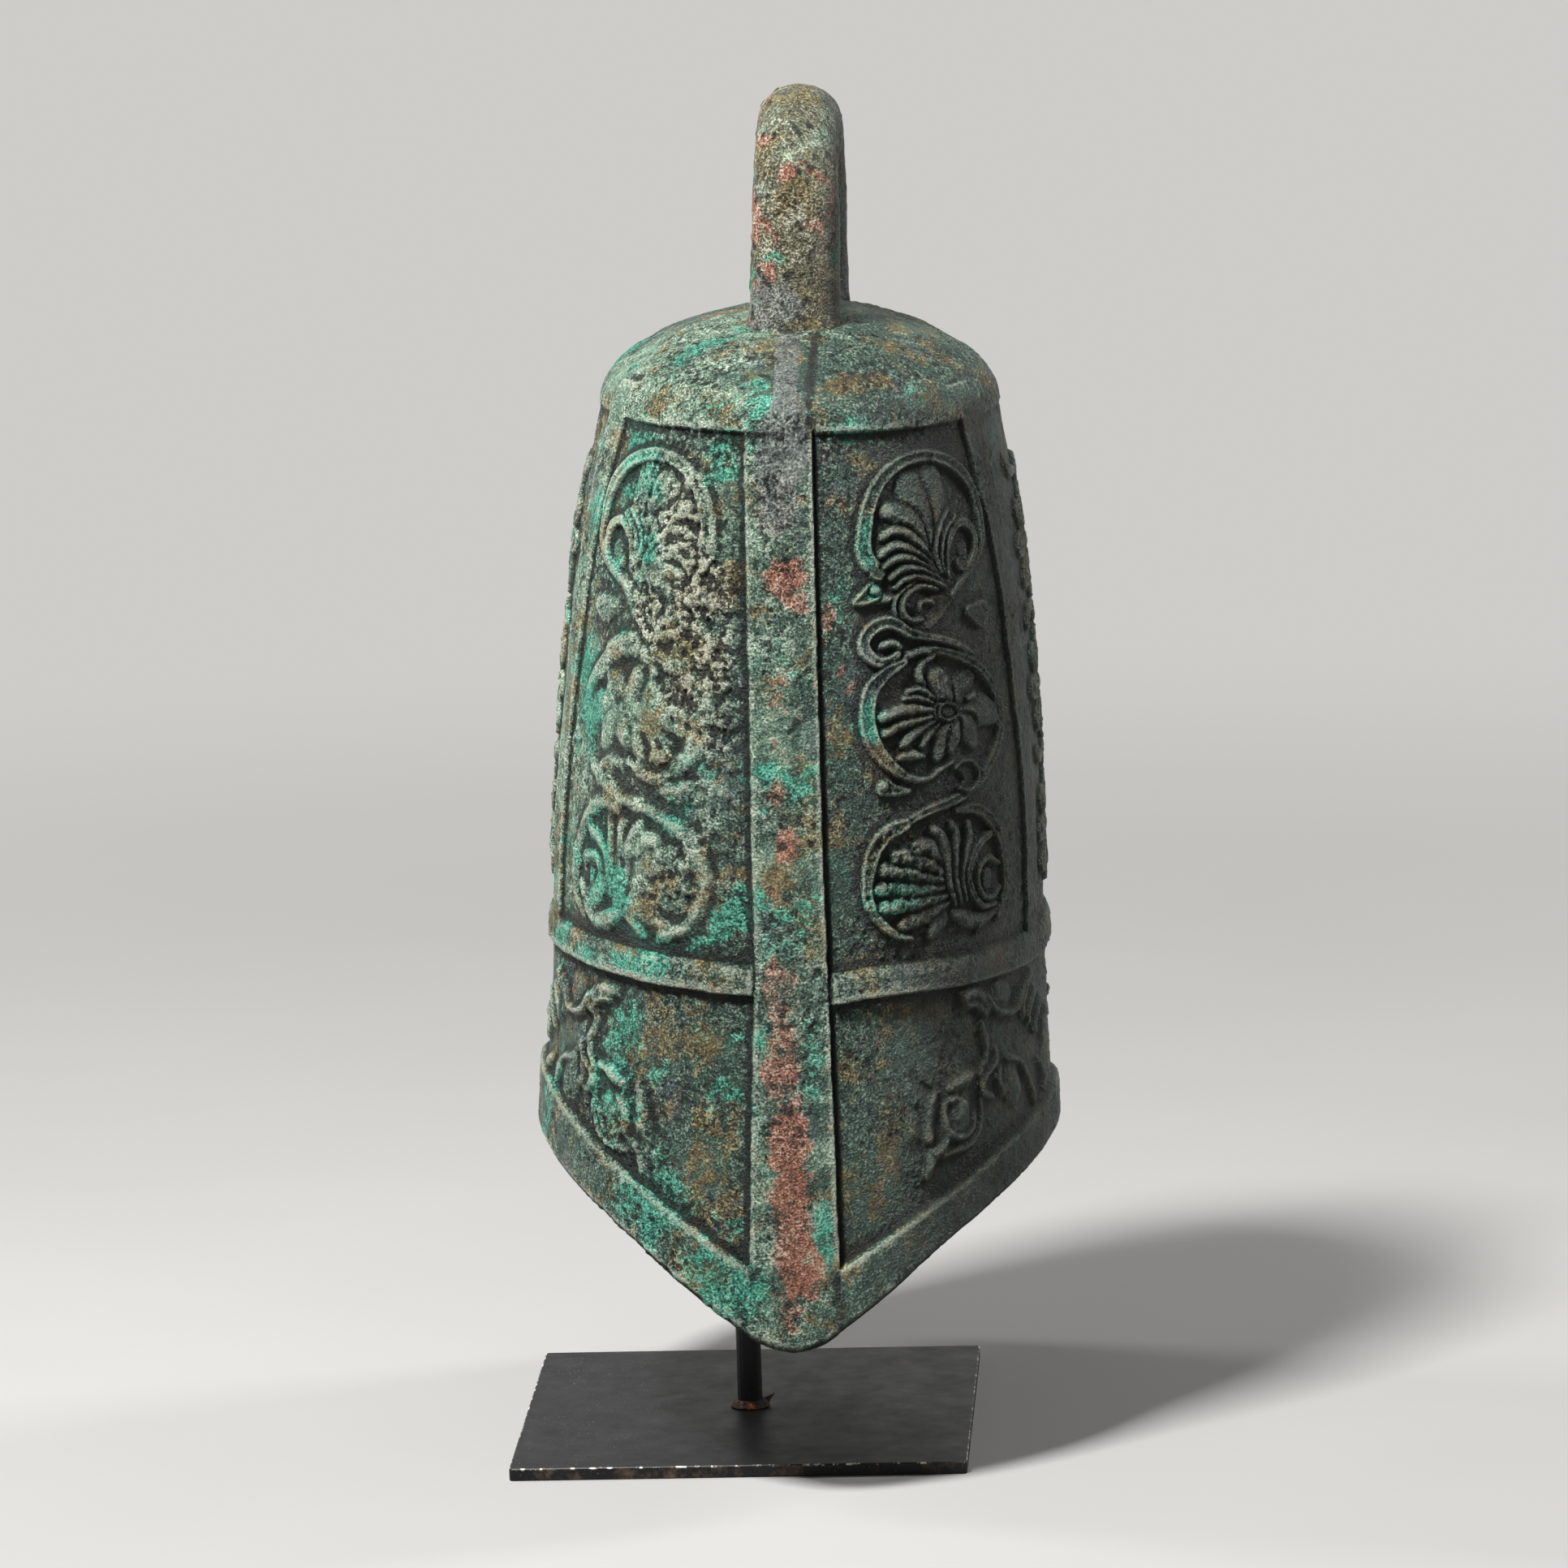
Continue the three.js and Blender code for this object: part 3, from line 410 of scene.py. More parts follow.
VINE_MIDDLE = (
    (((1116, 808), (1136, 801), (1156, 802), (1178, 808), (1200, 820), (1216, 840), (1226, 864),
     (1229, 890), (1225, 918), (1215, 942), (1205, 960), (1190, 975), (1170, 987), (1148, 996),
     (1128, 1006), (1112, 1018)), (1.8, 2.2, 2.4, 2.8, 3, 3.2, 3.4, 3.4, 3.2, 3, 2.8, 2.6, 2.4), 3,
     "rimmed"),
    (((1112, 816), (1090, 830), (1073, 850), (1067, 874), (1069, 898), (1077, 920), (1090, 938),
     (1106, 952), (1122, 960), (1140, 960), (1156, 948), (1174, 936)),
     (2.2, 3.6, 4.4, 4.4, 4.4, 4, 3.2, 2, 1.6, 1.6, 1.4), 2.9, "rimmed"),
    # lotus: outer petals first, then the ones that lie on them
    (((1170, 866), (1180, 848), (1190, 838)), (3, 8, 6), 2.2),
    (((1166, 866), (1158, 846), (1150, 832)), (4, 7, 5.5), 2.6),
    (((1142, 860), (1130, 832), (1134, 818), (1148, 808)), (1.6, 2.4, 2.4, 1.6), 2.6),
    (((1184, 878), (1204, 874), (1220, 880)), (4, 9, 6), 2.7),
    (((1180, 884), (1190, 900), (1196, 912)), (3, 7.5, 5), 2.5),
    (((1170, 888), (1160, 912), (1152, 932)), (4, 7, 3.4), 2.8),
    (((1174, 890), (1172, 908), (1168, 924)), (3, 5.5, 3), 3),
    (((1154, 890), (1142, 904), (1134, 918)), (1.6, 3.2, 2.4), 2.6),
    (((1150, 886), (1128, 900), (1111, 917)), (1.6, 3.4, 2.6), 2.8),
    (((1146, 882), (1116, 890), (1088, 904)), (1.4, 3.2, 2.4), 3),
    (((1144, 874), (1112, 874), (1085, 884)), (1.6, 4.2, 3), 3.2),
    (((1146, 866), (1128, 859), (1111, 861)), (1.2, 2.6, 1.8), 2.9),
    (((1148, 860), (1132, 849), (1116, 852)), (1.2, 2.2, 1.6), 2.7),
    (((1190, 860), (1196, 856)), (2.2, 2.6), 3),
    (((1154, 876), (1171, 877)), (4.6, 4.6), 2.4, "flat"),
    (((1153, 876), (1155, 869), (1163, 866), (1172, 869), (1175, 877), (1171, 884), (1162, 887),
     (1154, 883), (1153, 876)), (0.9, 0.9, 0.9), 3.6),
    # small leaf, drop leaf and bud below the lotus
    (((1136, 932), (1120, 930), (1106, 934)), (1.2, 3.6, 2), 2.6),
    (((1176, 940), (1188, 944), (1196, 956), (1190, 968), (1180, 972)), (2, 5, 7, 5, 2), 2,
     "dished"),
    (((1172, 948), (1182, 938), (1194, 938), (1202, 950), (1200, 964), (1190, 974), (1178, 970)),
     (0.9, 1.2, 1.4, 1.4, 1.2, 0.9), 3),
    (((1118, 974), (1102, 974), (1088, 970)), (1.8, 2.8, 4.4), 2.6, "rimmed"),
    (((1086, 968), (1088, 969)), (2.6, 2.6), 3.8),
)
VINE_LOW = (
    (((1114, 1016), (1092, 1026), (1076, 1048), (1069, 1076), (1068, 1100), (1074, 1122),
     (1086, 1140), (1104, 1152), (1122, 1156)), (3.4, 4.2, 4.2, 3.8, 3.2, 2.8, 2.4, 2, 1.4), 2.8,
     "rimmed"),
    (((1176, 998), (1198, 996), (1214, 1006), (1226, 1026), (1233, 1052), (1236, 1080),
     (1233, 1108), (1226, 1130)), (2, 3, 3.4, 3.4, 3.4, 3.2, 2.6, 1.8), 2.8, "rimmed"),
    # fan of lobes on the left
    (((1172, 1120), (1156, 1136), (1146, 1150)), (2, 4.5, 3.4), 2.2),
    (((1168, 1112), (1136, 1128), (1112, 1140)), (2, 5.5, 4), 2.4),
    (((1164, 1104), (1122, 1112), (1090, 1118)), (2, 5, 4), 2.6),
    (((1160, 1094), (1116, 1094), (1084, 1096)), (2, 5, 4), 2.6),
    (((1160, 1084), (1120, 1074), (1088, 1072)), (2, 5, 4), 2.7),
    (((1160, 1074), (1130, 1058), (1104, 1056)), (2, 5, 4), 2.7),
    (((1166, 1064), (1148, 1044), (1128, 1044)), (2, 5, 4), 2.8),
    # nested scroll on the right
    (((1176, 1116), (1168, 1086), (1166, 1056), (1158, 1032), (1148, 1022)), (1.6, 2.4, 3, 4, 3),
     2.8),
    (((1182, 1112), (1176, 1082), (1176, 1050), (1176, 1026), (1170, 1014)),
     (1.4, 2.2, 2.6, 3, 2.6), 2.6),
    (((1188, 1108), (1184, 1080), (1188, 1050), (1192, 1030), (1190, 1014)), (1.4, 2, 2.4, 3, 2.6),
     2.6),
    (((1224, 1112), (1210, 1116), (1198, 1104), (1191, 1084), (1194, 1058), (1206, 1036),
     (1216, 1028)), (1.4, 1.8, 2.2, 2.4, 2.4, 2.6, 2.4), 2.9, "rimmed"),
    (((1228, 1092), (1220, 1104), (1208, 1102), (1201, 1084), (1204, 1066), (1214, 1056),
     (1226, 1062)), (1.8, 2, 2.2, 2.2, 2.2, 2, 1.6), 3),
    (((1214, 1076), (1214, 1088)), (3.4, 3.4), 2.4, "dished"),
    (((1172, 1124), (1190, 1132), (1206, 1134), (1222, 1124)), (2.6, 5, 4.6, 2), 2.4),
)

# Relief of the lower register: curling leaf, wing and bosses
LOWER_RELIEF = (
    (((1182, 1228), (1196, 1224), (1208, 1230), (1216, 1244)), (2.4, 3.6, 3.6, 2.2), 2.6),
    (((1186, 1238), (1200, 1240), (1212, 1252)), (1.8, 2.6, 2), 2.6),
    (((1214, 1228), (1222, 1243), (1234, 1249), (1248, 1242), (1257, 1218), (1266, 1194)),
     (1.8, 2.4, 2.8, 2.6, 2.4, 1.8), 3.2),
    (((1228, 1222), (1236, 1226)), (6.5, 6.5), 2),
    (((1262, 1210), (1256, 1236), (1258, 1252)), (2, 3, 2.2), 2.6),
    (((1270, 1216), (1264, 1242), (1264, 1260)), (2, 3, 2.2), 2.6),
    (((1277, 1224), (1272, 1250), (1272, 1268)), (2, 3, 2.2), 2.6),
    (((1284, 1240), (1280, 1262), (1282, 1282)), (2, 3.4, 2.4), 2.6),
    (((1206, 1262), (1212, 1280), (1214, 1300), (1206, 1322)), (2, 2.6, 2.6, 2), 2.6),
    (((1224, 1290), (1226, 1306), (1214, 1324), (1208, 1340), (1220, 1352)), (1.6, 2, 2.4, 2.8, 2),
     2.8),
    (((1240, 1330), (1246, 1342)), (8.5, 8.5), 2.6),
    (((1236, 1304), (1254, 1312), (1266, 1334), (1270, 1360)), (2, 2.2, 2.2, 1.8), 3.2),
    (((1228, 1316), (1226, 1334), (1232, 1348)), (1.6, 2, 1.6), 3),
    (((1276, 1306), (1282, 1322), (1280, 1340)), (2.4, 4, 2.4), 2.6),
    (((1200, 1318), (1184, 1328), (1170, 1340)), (2.2, 4, 3), 2.4),
    (((1180, 1368), (1182, 1382)), (8, 8), 2.4),
    (((1198, 1368), (1196, 1386), (1184, 1398), (1168, 1396), (1160, 1380), (1164, 1360),
     (1176, 1350)), (1.6, 2, 2.2, 2.4, 2.4, 2.2, 1.6), 3),
    (((1206, 1352), (1206, 1380), (1196, 1404), (1176, 1416), (1158, 1424)),
     (1.4, 1.8, 2.2, 2.2, 1.6), 2.8),
    (((1160, 1404), (1146, 1424), (1140, 1446)), (2.2, 4.6, 2.6), 2.4),
    (((1152, 1350), (1142, 1376), (1140, 1402)), (2, 4, 2.6), 2),
)


# Reach of the drawn sheets round the bell, from the front or from the middle of its side
UPPER_REACH = (8, 175)
LOWER_REACH = (8, 200)
CENTRE_REACH = (-60, 60)


def drawn_sheet(s_range, h_range, strokes, soft):
    sheet = Sheet(s_range, h_range)
    for pixels, *stroke in strokes:
        sheet.stroke(on_sheet(pixels), *stroke)
    sheet.soften(soft)
    return sheet


# Rosettes of the broad faces' middle panels, eight petals each, linked by stems
CENTRE_ROWS = (305, 377, 449)
CENTRE_RADIUS = 30
PETALS = 8


def centre_sheet():
    sheet = Sheet(CENTRE_REACH, (MID_HIGH, COLLAR_LOW))
    for row, middle in enumerate(CENTRE_ROWS):
        side = -1 if row % 2 else 1
        for way, rise, curl in ((side, 36, 40), (-side, 39, 33)):
            stem = [[way * 4, middle + CENTRE_RADIUS - 2], [-way * 8, middle + rise],
                    [-way * 19, middle + rise], [-way * 24, middle + curl]]
            sheet.stroke(stem, (1.8, 2.4, 2.6, 3.6), 2.6, "rimmed")
        centre = np.array([0, middle])
        for petal in range(PETALS):
            a = petal * 2 * math.pi / PETALS
            way = np.array([math.cos(a), math.sin(a)])
            sheet.stroke([centre + way * reach for reach in (5, 12, 18, 23.5)],
                         (1.8, 4.4, 6.8, 6.2), 2.6, "rimmed")
            sheet.stroke([centre + way * 8, centre + way * 20], (1, 2.2), 3, "round", 0.6)
        sheet.stroke([[-0.2, middle], [0.2, middle]], (5.4, 5.4), 3.4)
    sheet.soften(1)
    return sheet


# Bell: one closed grid of rows from the crown's inside, down and round the mouth, and up to the
# apex. The columns are denser at the front, and the rows of the outside come first.
ROW_PITCH = 0.85
TOP_PITCH = 1.0
FRONT_PITCH = 0.75
REAR_PITCH = 1.2
FRONT_TURN = (math.radians(115), math.radians(95))
COLLAR_POINT = (96.4, COLLAR_LOW + 9)
# Most that the rim, the lower register and the way from the collar to the apex measure
RIM_TALL = 38
LOWER_TALL = 138
TOP_LONG = 130
INNER_ROWS = 60
CROWN_ROWS = 24
LIP_ROWS = 7


def column_angles():
    fine = np.linspace(-math.pi, math.pi, 4001)
    speed = MOUTH_HALF * np.hypot(np.cos(fine), DEPTH * np.sin(fine))
    front = step(*FRONT_TURN, np.abs(fine))
    total = running_total(speed * (front / FRONT_PITCH + (1 - front) / REAR_PITCH), fine)
    count = int(total[-1])
    return np.interp(np.arange(count) * total[-1] / count, total, fine)


def shares_between(tall, pitch=ROW_PITCH):
    """Shares from 0 up to, but not with, 1 for a strip that is at most this tall."""
    return np.linspace(0, 1, max(2, int(tall / pitch)), endpoint=False)


def across_columns(values):
    """A column of values, repeated for each angle."""
    return np.repeat(np.array(values)[:, None], columns, 1)


def grid_normals(points):
    along = np.roll(points, -1, 1) - np.roll(points, 1, 1)
    up = np.gradient(points, axis=0)
    n = np.cross(along, up)
    return n / np.maximum(np.linalg.norm(n, axis=-1, keepdims=True), 1e-9)


theta = column_angles()
columns = len(theta)
shoulder_half = body_half(np.array([COLLAR_LOW]))[0]
dome_points = [(SHOULDER_HALF * w, COLLAR_HIGH + r * DOME_RISE) for w, r in DOME_SHARES]
dome_curve, dome_way = curve_through(dome_points, 0.5)
collar_points = [(shoulder_half, COLLAR_LOW), COLLAR_POINT, *dome_points[1:]]
top_curve, top_way = curve_through(collar_points, 0.5)

height_rows = []
for tall, low, high in (
    (RIM_TALL, mouth_height(theta), rim_top(theta)),
    (LOWER_TALL, rim_top(theta), MID_LOW),
    (MID_HIGH - MID_LOW, MID_LOW, MID_HIGH),
    (COLLAR_LOW - MID_HIGH, MID_HIGH, COLLAR_LOW),
):
    height_rows += [low + (high - low) * t * np.ones(columns) for t in shares_between(tall)]
height = np.array(height_rows)
top_shares = shares_between(TOP_LONG, TOP_PITCH)
top_half, top_height = (across_columns(np.interp(top_shares, top_way, column))
                        for column in top_curve.T)
half = np.concatenate([body_half(height), top_half])
height = np.concatenate([height, top_height])
angle = np.broadcast_to(theta, half.shape)
base = oval_point(half, angle, height)
normals = grid_normals(base)
x_of, y_of = base[..., 0], base[..., 1]
front = y_of < 0
front_share = step(35, -45, y_of)
side_share = np.sin(angle)

# Bands. The front band leans a little and narrows upwards; its edges waver as the casting's do.
BAND_ROWS = (121, 265, 516)
FRONT_BAND_LEFT = (-15.7, -14, -20.3)
FRONT_BAND_RIGHT = (27.1, 20.7, 12.1)
FRONT_BAND_RAISE = (2.0, 3.1)
BODY_ROWS = (TIP, COLLAR_LOW)
REAR_BAND_AXIS = (RIDGE_TIP_X, -4)
REAR_BAND_HALF = (21.5, 16.2)
REAR_BAND_RAISE = 3.0
RIDGE_END_DROP = 0.9
SIDE_BAND_FROM = (53.5, 70)
SIDE_BAND_WIDE = 18
SIDE_BAND_RAISE = 2.2
MID_BAND_RAISE = 3.4
RIM_RAISE = 2
LIP_RAISE = 2.2
CRACK_DEPTH = 1.6

waver = 0.7 * layered(base, 45, 3, 11) + 0.25 * noise(base, 5, 15)
from_left = x_of - np.interp(height, BAND_ROWS, FRONT_BAND_LEFT) + waver
from_right = np.interp(height, BAND_ROWS, FRONT_BAND_RIGHT) - x_of + waver
from_rear_axis = np.abs(x_of - np.interp(height, BODY_ROWS, REAR_BAND_AXIS))
rear_in = np.interp(height, BODY_ROWS, REAR_BAND_HALF) - from_rear_axis + waver
ridge = np.where(front, step(-1.1, 0.9, from_left) * step(-0.5, 0.3, from_right),
                 step(-0.7, 0.6, rear_in))
ridge_raise = np.where(front, np.interp(from_left, (0, 34), FRONT_BAND_RAISE), REAR_BAND_RAISE)
ridge_raise = ridge_raise - RIDGE_END_DROP * step(COLLAR_LOW - 10, COLLAR_HIGH, height)
crack = hump(from_right, -0.9, 0.75) * front * (height < COLLAR_LOW + 2) * step(-0.5, 0.1, waver)

band_y = np.interp(height, (MID_HIGH, COLLAR_LOW), SIDE_BAND_FROM)
side_in = np.minimum(band_y - np.abs(y_of), np.abs(y_of) - band_y + SIDE_BAND_WIDE) + waver
side_band = step(-0.7, 0.5, side_in) * step(MID_LOW, MID_HIGH, height) * (height < COLLAR_HIGH)
mid_sag = 3 * side_share + 3.8 * hump(x_of, 20, 19)
mid_up = height - (MID_LOW - mid_sag * front_share + waver)
mid_tall = MID_HIGH - MID_LOW + 0.5 * waver
mid_band = (step(-0.5, 0.5, mid_up) * np.sqrt(np.clip(1 - (mid_up / mid_tall) ** 4, 0, 1))
            * (mid_up < mid_tall) * (1 - ridge))
collar = step(-0.6, 0.5, height - COLLAR_LOW - 0.8 * waver) * step(12, -6, height - COLLAR_HIGH)
collar_raise = 1.2 + 1.5 * np.cos(angle) ** 2
above_rim = height - (rim_top(angle) + waver)
rim = step(0.4, -4.4, above_rim) * (1 - ridge) + step(16, -24, above_rim) * ridge
rim = rim * (height < RIM_LEFT + 12)
rim_lip = step(0, 4, height - mouth_height(angle))
raised = np.maximum.reduce([
    ridge_raise * ridge * step(4, -12, height - COLLAR_HIGH),
    SIDE_BAND_RAISE * side_band,
    MID_BAND_RAISE * mid_band,
    collar_raise * collar,
    rim * (RIM_RAISE + LIP_RAISE * rim_lip) + 0.5 * rim * ridge,
])
raised = raised - CRACK_DEPTH * crack * (1 - rim)
on_band = np.maximum.reduce([ridge, side_band, mid_band, collar, rim])

# Ornament, folded into one quarter of the oval. On the left and low down it is swollen, that is
# blurred, shifted and partly worn away.
SWOLLEN_BELOW = 460
SWOLLEN_SHIFT = 4
SWOLLEN_GAIN = 1.4
WORN_AWAY_FROM = (310, 350)

quarter = np.minimum(np.abs(angle), math.pi - np.abs(angle))
from_front = half * arc(quarter)
from_side = (half * (arc_table[-1] - arc(quarter))) * np.sign(y_of)
swollen = (step(0.1, -0.25, side_share) * step(-15, -50, y_of)
           * step(30, -30, height - SWOLLEN_BELOW))
swollen = np.maximum(swollen, 0.5 * (height < MID_LOW))
drawn_s = from_front + SWOLLEN_SHIFT * swollen * layered(base, 20, 2, 171)
drawn_h = height + SWOLLEN_SHIFT * swollen * layered(base, 20, 2, 181)
vine = VINE_TOP + VINE_MIDDLE + VINE_LOW
upper_ornament = drawn_sheet(UPPER_REACH, (MID_HIGH, COLLAR_LOW), vine, 1)
lower_ornament = drawn_sheet(LOWER_REACH, (RIM_FRONT, MID_LOW), LOWER_RELIEF, 2)
in_panel = np.abs(y_of) > band_y
upper_field = np.where(in_panel, upper_ornament.at(drawn_s, drawn_h),
                       centre_sheet().at(from_side, height))
ornament = np.where(height > MID_HIGH, upper_field, lower_ornament.at(drawn_s, drawn_h))
ornament = ornament * (1 - on_band) * (height > RIM_FRONT) * (height < COLLAR_LOW)
worn_away = step(0, 0.6, layered(base, 34, 2, 191)) * step(*WORN_AWAY_FROM, height)
ornament = ornament * (1 - 0.9 * swollen * worn_away)
blurred = grid_blur(grid_blur(ornament, 3), 1)
ornament = ornament * (1 - swollen) + SWOLLEN_GAIN * blurred * swollen

# Corrosion: slow dents, crust, grain and pits
REAR_CRUST_ABOVE = 180
ORNAMENT_GAIN = 1.1
dents = layered(base, 60, 2, 21)
crust_noise = layered(base, 14, 4, 31, 0.65)
grain = layered(base, 4.2, 3, 41, 0.8)
fine_grain = noise(base, 1.9, 51)
sandy = step(-0.35, 0.25, layered(base, 32, 3, 55))
pits = step(0.45, 0.8, noise(base, 6, 61)) * step(0.1, 0.6, noise(base, 30, 62))
wear = np.clip(0.9 + 0.35 * layered(base, 24, 3, 65), 0.55, 1.05)
patch_edge = layered(base, 12, 3, 71)
angle_length = arc_each_way(angle)


def blobs(places, ragged=0.35):
    """Patches given as photo pixel, half width round the bell, half height in millimetres and
    strength."""
    field = np.zeros(half.shape)
    for u, v, wide, tall, strength in places:
        (a,), (h,) = on_bell([(u, v)])
        across_bell = body_half(np.array([h]))[0] * (angle_length - arc_each_way(a))
        r = np.hypot(across_bell / wide, (height - h) / tall)
        spot = strength * step(1.35, 0.35, r + ragged * patch_edge)
        field = np.maximum(field, spot * (np.abs(angle) < math.pi / 2))
    return field


# Places of the patches, read off the photograph
CRUST_SPOTS = (
    (842, 640, 20, 30, 0.9), (862, 730, 20, 30, 1), (800, 760, 14, 22, 0.9),
    (815, 600, 16, 22, 0.6), (880, 810, 14, 26, 1), (840, 850, 18, 22, 0.8),
    (880, 900, 14, 24, 0.7), (790, 670, 14, 30, 0.6), (900, 560, 8, 12, 0.6),
    (810, 940, 18, 14, 0.4), (1110, 1080, 24, 26, 0.4), (720, 1350, 20, 30, 0.4),
    (760, 1420, 30, 30, 0.4), (740, 1500, 20, 10, 0.6), (810, 1560, 24, 12, 0.6),
    (890, 1620, 20, 12, 0.5), (750, 560, 12, 18, 0.5), (930, 580, 9, 14, 0.7),
    (830, 1080, 16, 22, 0.4), (960, 440, 12, 8, 0.6), (1020, 470, 8, 12, 0.5),
    (1150, 500, 30, 5, 0.4), (860, 440, 30, 8, 0.4),
)
MASS_SPOTS = (
    (737, 1221, 13, 11, 0.9), (717, 1261, 9, 12, 0.8), (751, 1322, 11, 18, 1),
    (778, 1376, 11, 18, 1), (798, 1423, 9, 12, 0.8), (1189, 1241, 6, 14, 0.7),
    (1235, 1318, 9, 13, 0.8), (1182, 1345, 9, 14, 0.9), (1155, 1400, 9, 12, 0.9),
    (1122, 1372, 8, 16, 0.6), (1135, 1436, 9, 9, 0.6),
)
RED_SPOTS = (
    (968, 710, 14, 14, 1), (985, 740, 8, 10, 0.8), (958, 980, 9, 14, 0.9), (968, 1040, 9, 14, 0.9),
    (960, 1220, 14, 24, 0.8), (962, 1310, 15, 34, 0.9), (972, 1400, 15, 34, 1),
    (975, 1480, 15, 34, 1), (985, 1560, 16, 24, 1), (975, 1615, 12, 16, 0.8),
    (1020, 760, 5, 12, 0.8), (1040, 840, 6, 14, 0.7), (1050, 660, 5, 14, 0.6),
    (1045, 1160, 8, 8, 0.5), (900, 990, 12, 10, 0.6), (880, 1060, 8, 8, 0.4), (850, 870, 6, 8, 0.7),
    (870, 1270, 6, 8, 0.5), (1010, 640, 6, 8, 0.5), (1232, 1215, 8, 8, 0.6),
    (1180, 1375, 6, 8, 0.4), (1000, 980, 6, 10, 0.4), (960, 860, 11, 24, 0.66),
    (968, 925, 10, 20, 0.6), (955, 1090, 10, 22, 0.66), (958, 1160, 10, 16, 0.6),
    (820, 1150, 8, 6, 0.3), (945, 850, 10, 16, 0.5),
)
GREEN_SPOTS = (
    (1070, 890, 10, 14, 0.9), (1064, 670, 6, 16, 0.8), (990, 1130, 10, 16, 0.5),
    (960, 1170, 12, 12, 0.5), (1100, 1110, 20, 12, 0.8), (740, 1050, 16, 30, 0.8),
    (760, 1100, 16, 20, 0.8), (730, 1180, 20, 10, 0.7), (800, 1190, 30, 8, 0.7),
    (770, 1260, 16, 20, 0.6), (750, 1340, 20, 30, 0.6), (810, 1480, 30, 20, 0.7),
    (900, 1590, 24, 20, 0.7), (760, 700, 10, 30, 0.6), (800, 560, 20, 12, 0.6),
    (1000, 1300, 8, 30, 0.5), (1015, 1520, 8, 20, 0.6), (1076, 728, 5, 5, 1),
    (730, 900, 10, 30, 0.6), (1220, 560, 12, 20, 0.5), (1050, 500, 20, 8, 0.6),
)
WORN_SPOTS = (
    (965, 560, 15, 30, 1), (960, 630, 14, 14, 0.7), (1030, 560, 10, 10, 0.5), (967, 470, 7, 9, 0.9),
    (967, 435, 5, 10, 0.9), (967, 405, 8, 5, 0.9),
)

crust = blobs(CRUST_SPOTS)
masses = blobs(MASS_SPOTS, 0.6) * (1 - on_band)
rear_crust = step(0, 35, y_of) * step(0.15, 0.5, layered(base, 70, 3, 81))
crust = np.maximum(crust, 0.8 * rear_crust * (height > REAR_CRUST_ABOVE) * (height < COLLAR_LOW))
lumps = np.abs(layered(base, 7, 3, 91, 0.7))
relief = (raised + ORNAMENT_GAIN * ornament * wear * (1 - 0.4 * crust)
          + masses * (1.3 + 1.6 * crust_noise) + 0.6 * dents + 0.5 * crust_noise
          + grain * (0.22 + 0.5 * sandy) + fine_grain * (0.08 + 0.26 * sandy) - 0.7 * pits
          + crust * (0.2 + 4.2 * lumps + 1.4 * crust_noise + 0.7 * fine_grain))
surface = base + normals * relief[..., None]

# Inner wall and lip
lip_height = mouth_height(theta)
levels = [lip_height + 0.6 + (COLLAR_LOW - lip_height) * t for t in np.linspace(0, 1, INNER_ROWS)]
crown_shares = np.linspace(0.03, 0.995, CROWN_ROWS)
crown_half, crown_height = (np.interp(crown_shares, dome_way, column) for column in dome_curve.T)
inner_half = np.concatenate([body_half(np.array(levels)) - WALL,
                             across_columns(crown_half - WALL * (1 - crown_shares))])
inner_height = np.concatenate([levels, across_columns(crown_height - CROWN)])
inner_half = np.maximum(inner_half, 0.05)
inner = oval_point(inner_half, np.broadcast_to(theta, inner_half.shape), inner_height)
inner_bump = 0.12 * layered(inner, 9, 3, 101)
inner = inner - grid_normals(inner) * inner_bump[..., None]
lip = []
for t in np.linspace(0, 1, LIP_ROWS + 2)[1:-1]:
    between = surface[0] * t + inner[0] * (1 - t)
    between[:, 2] -= 0.8 * np.sin(math.pi * t) * (1 + 0.5 * layered(between, 6, 2, 111))
    lip.append(between)
grid = np.concatenate([inner[::-1], np.array(lip), surface])


def whole(field, inside):
    """A field of the outer surface, carried to the lip, with one value inside."""
    return np.concatenate([np.full(inner.shape[:2], float(inside)),
                           np.repeat(field[:1], len(lip), 0), field])


def in_scene(name, data):
    obj = bpy.data.objects.new(name, data)
    bpy.context.scene.collection.objects.link(obj)
    return obj


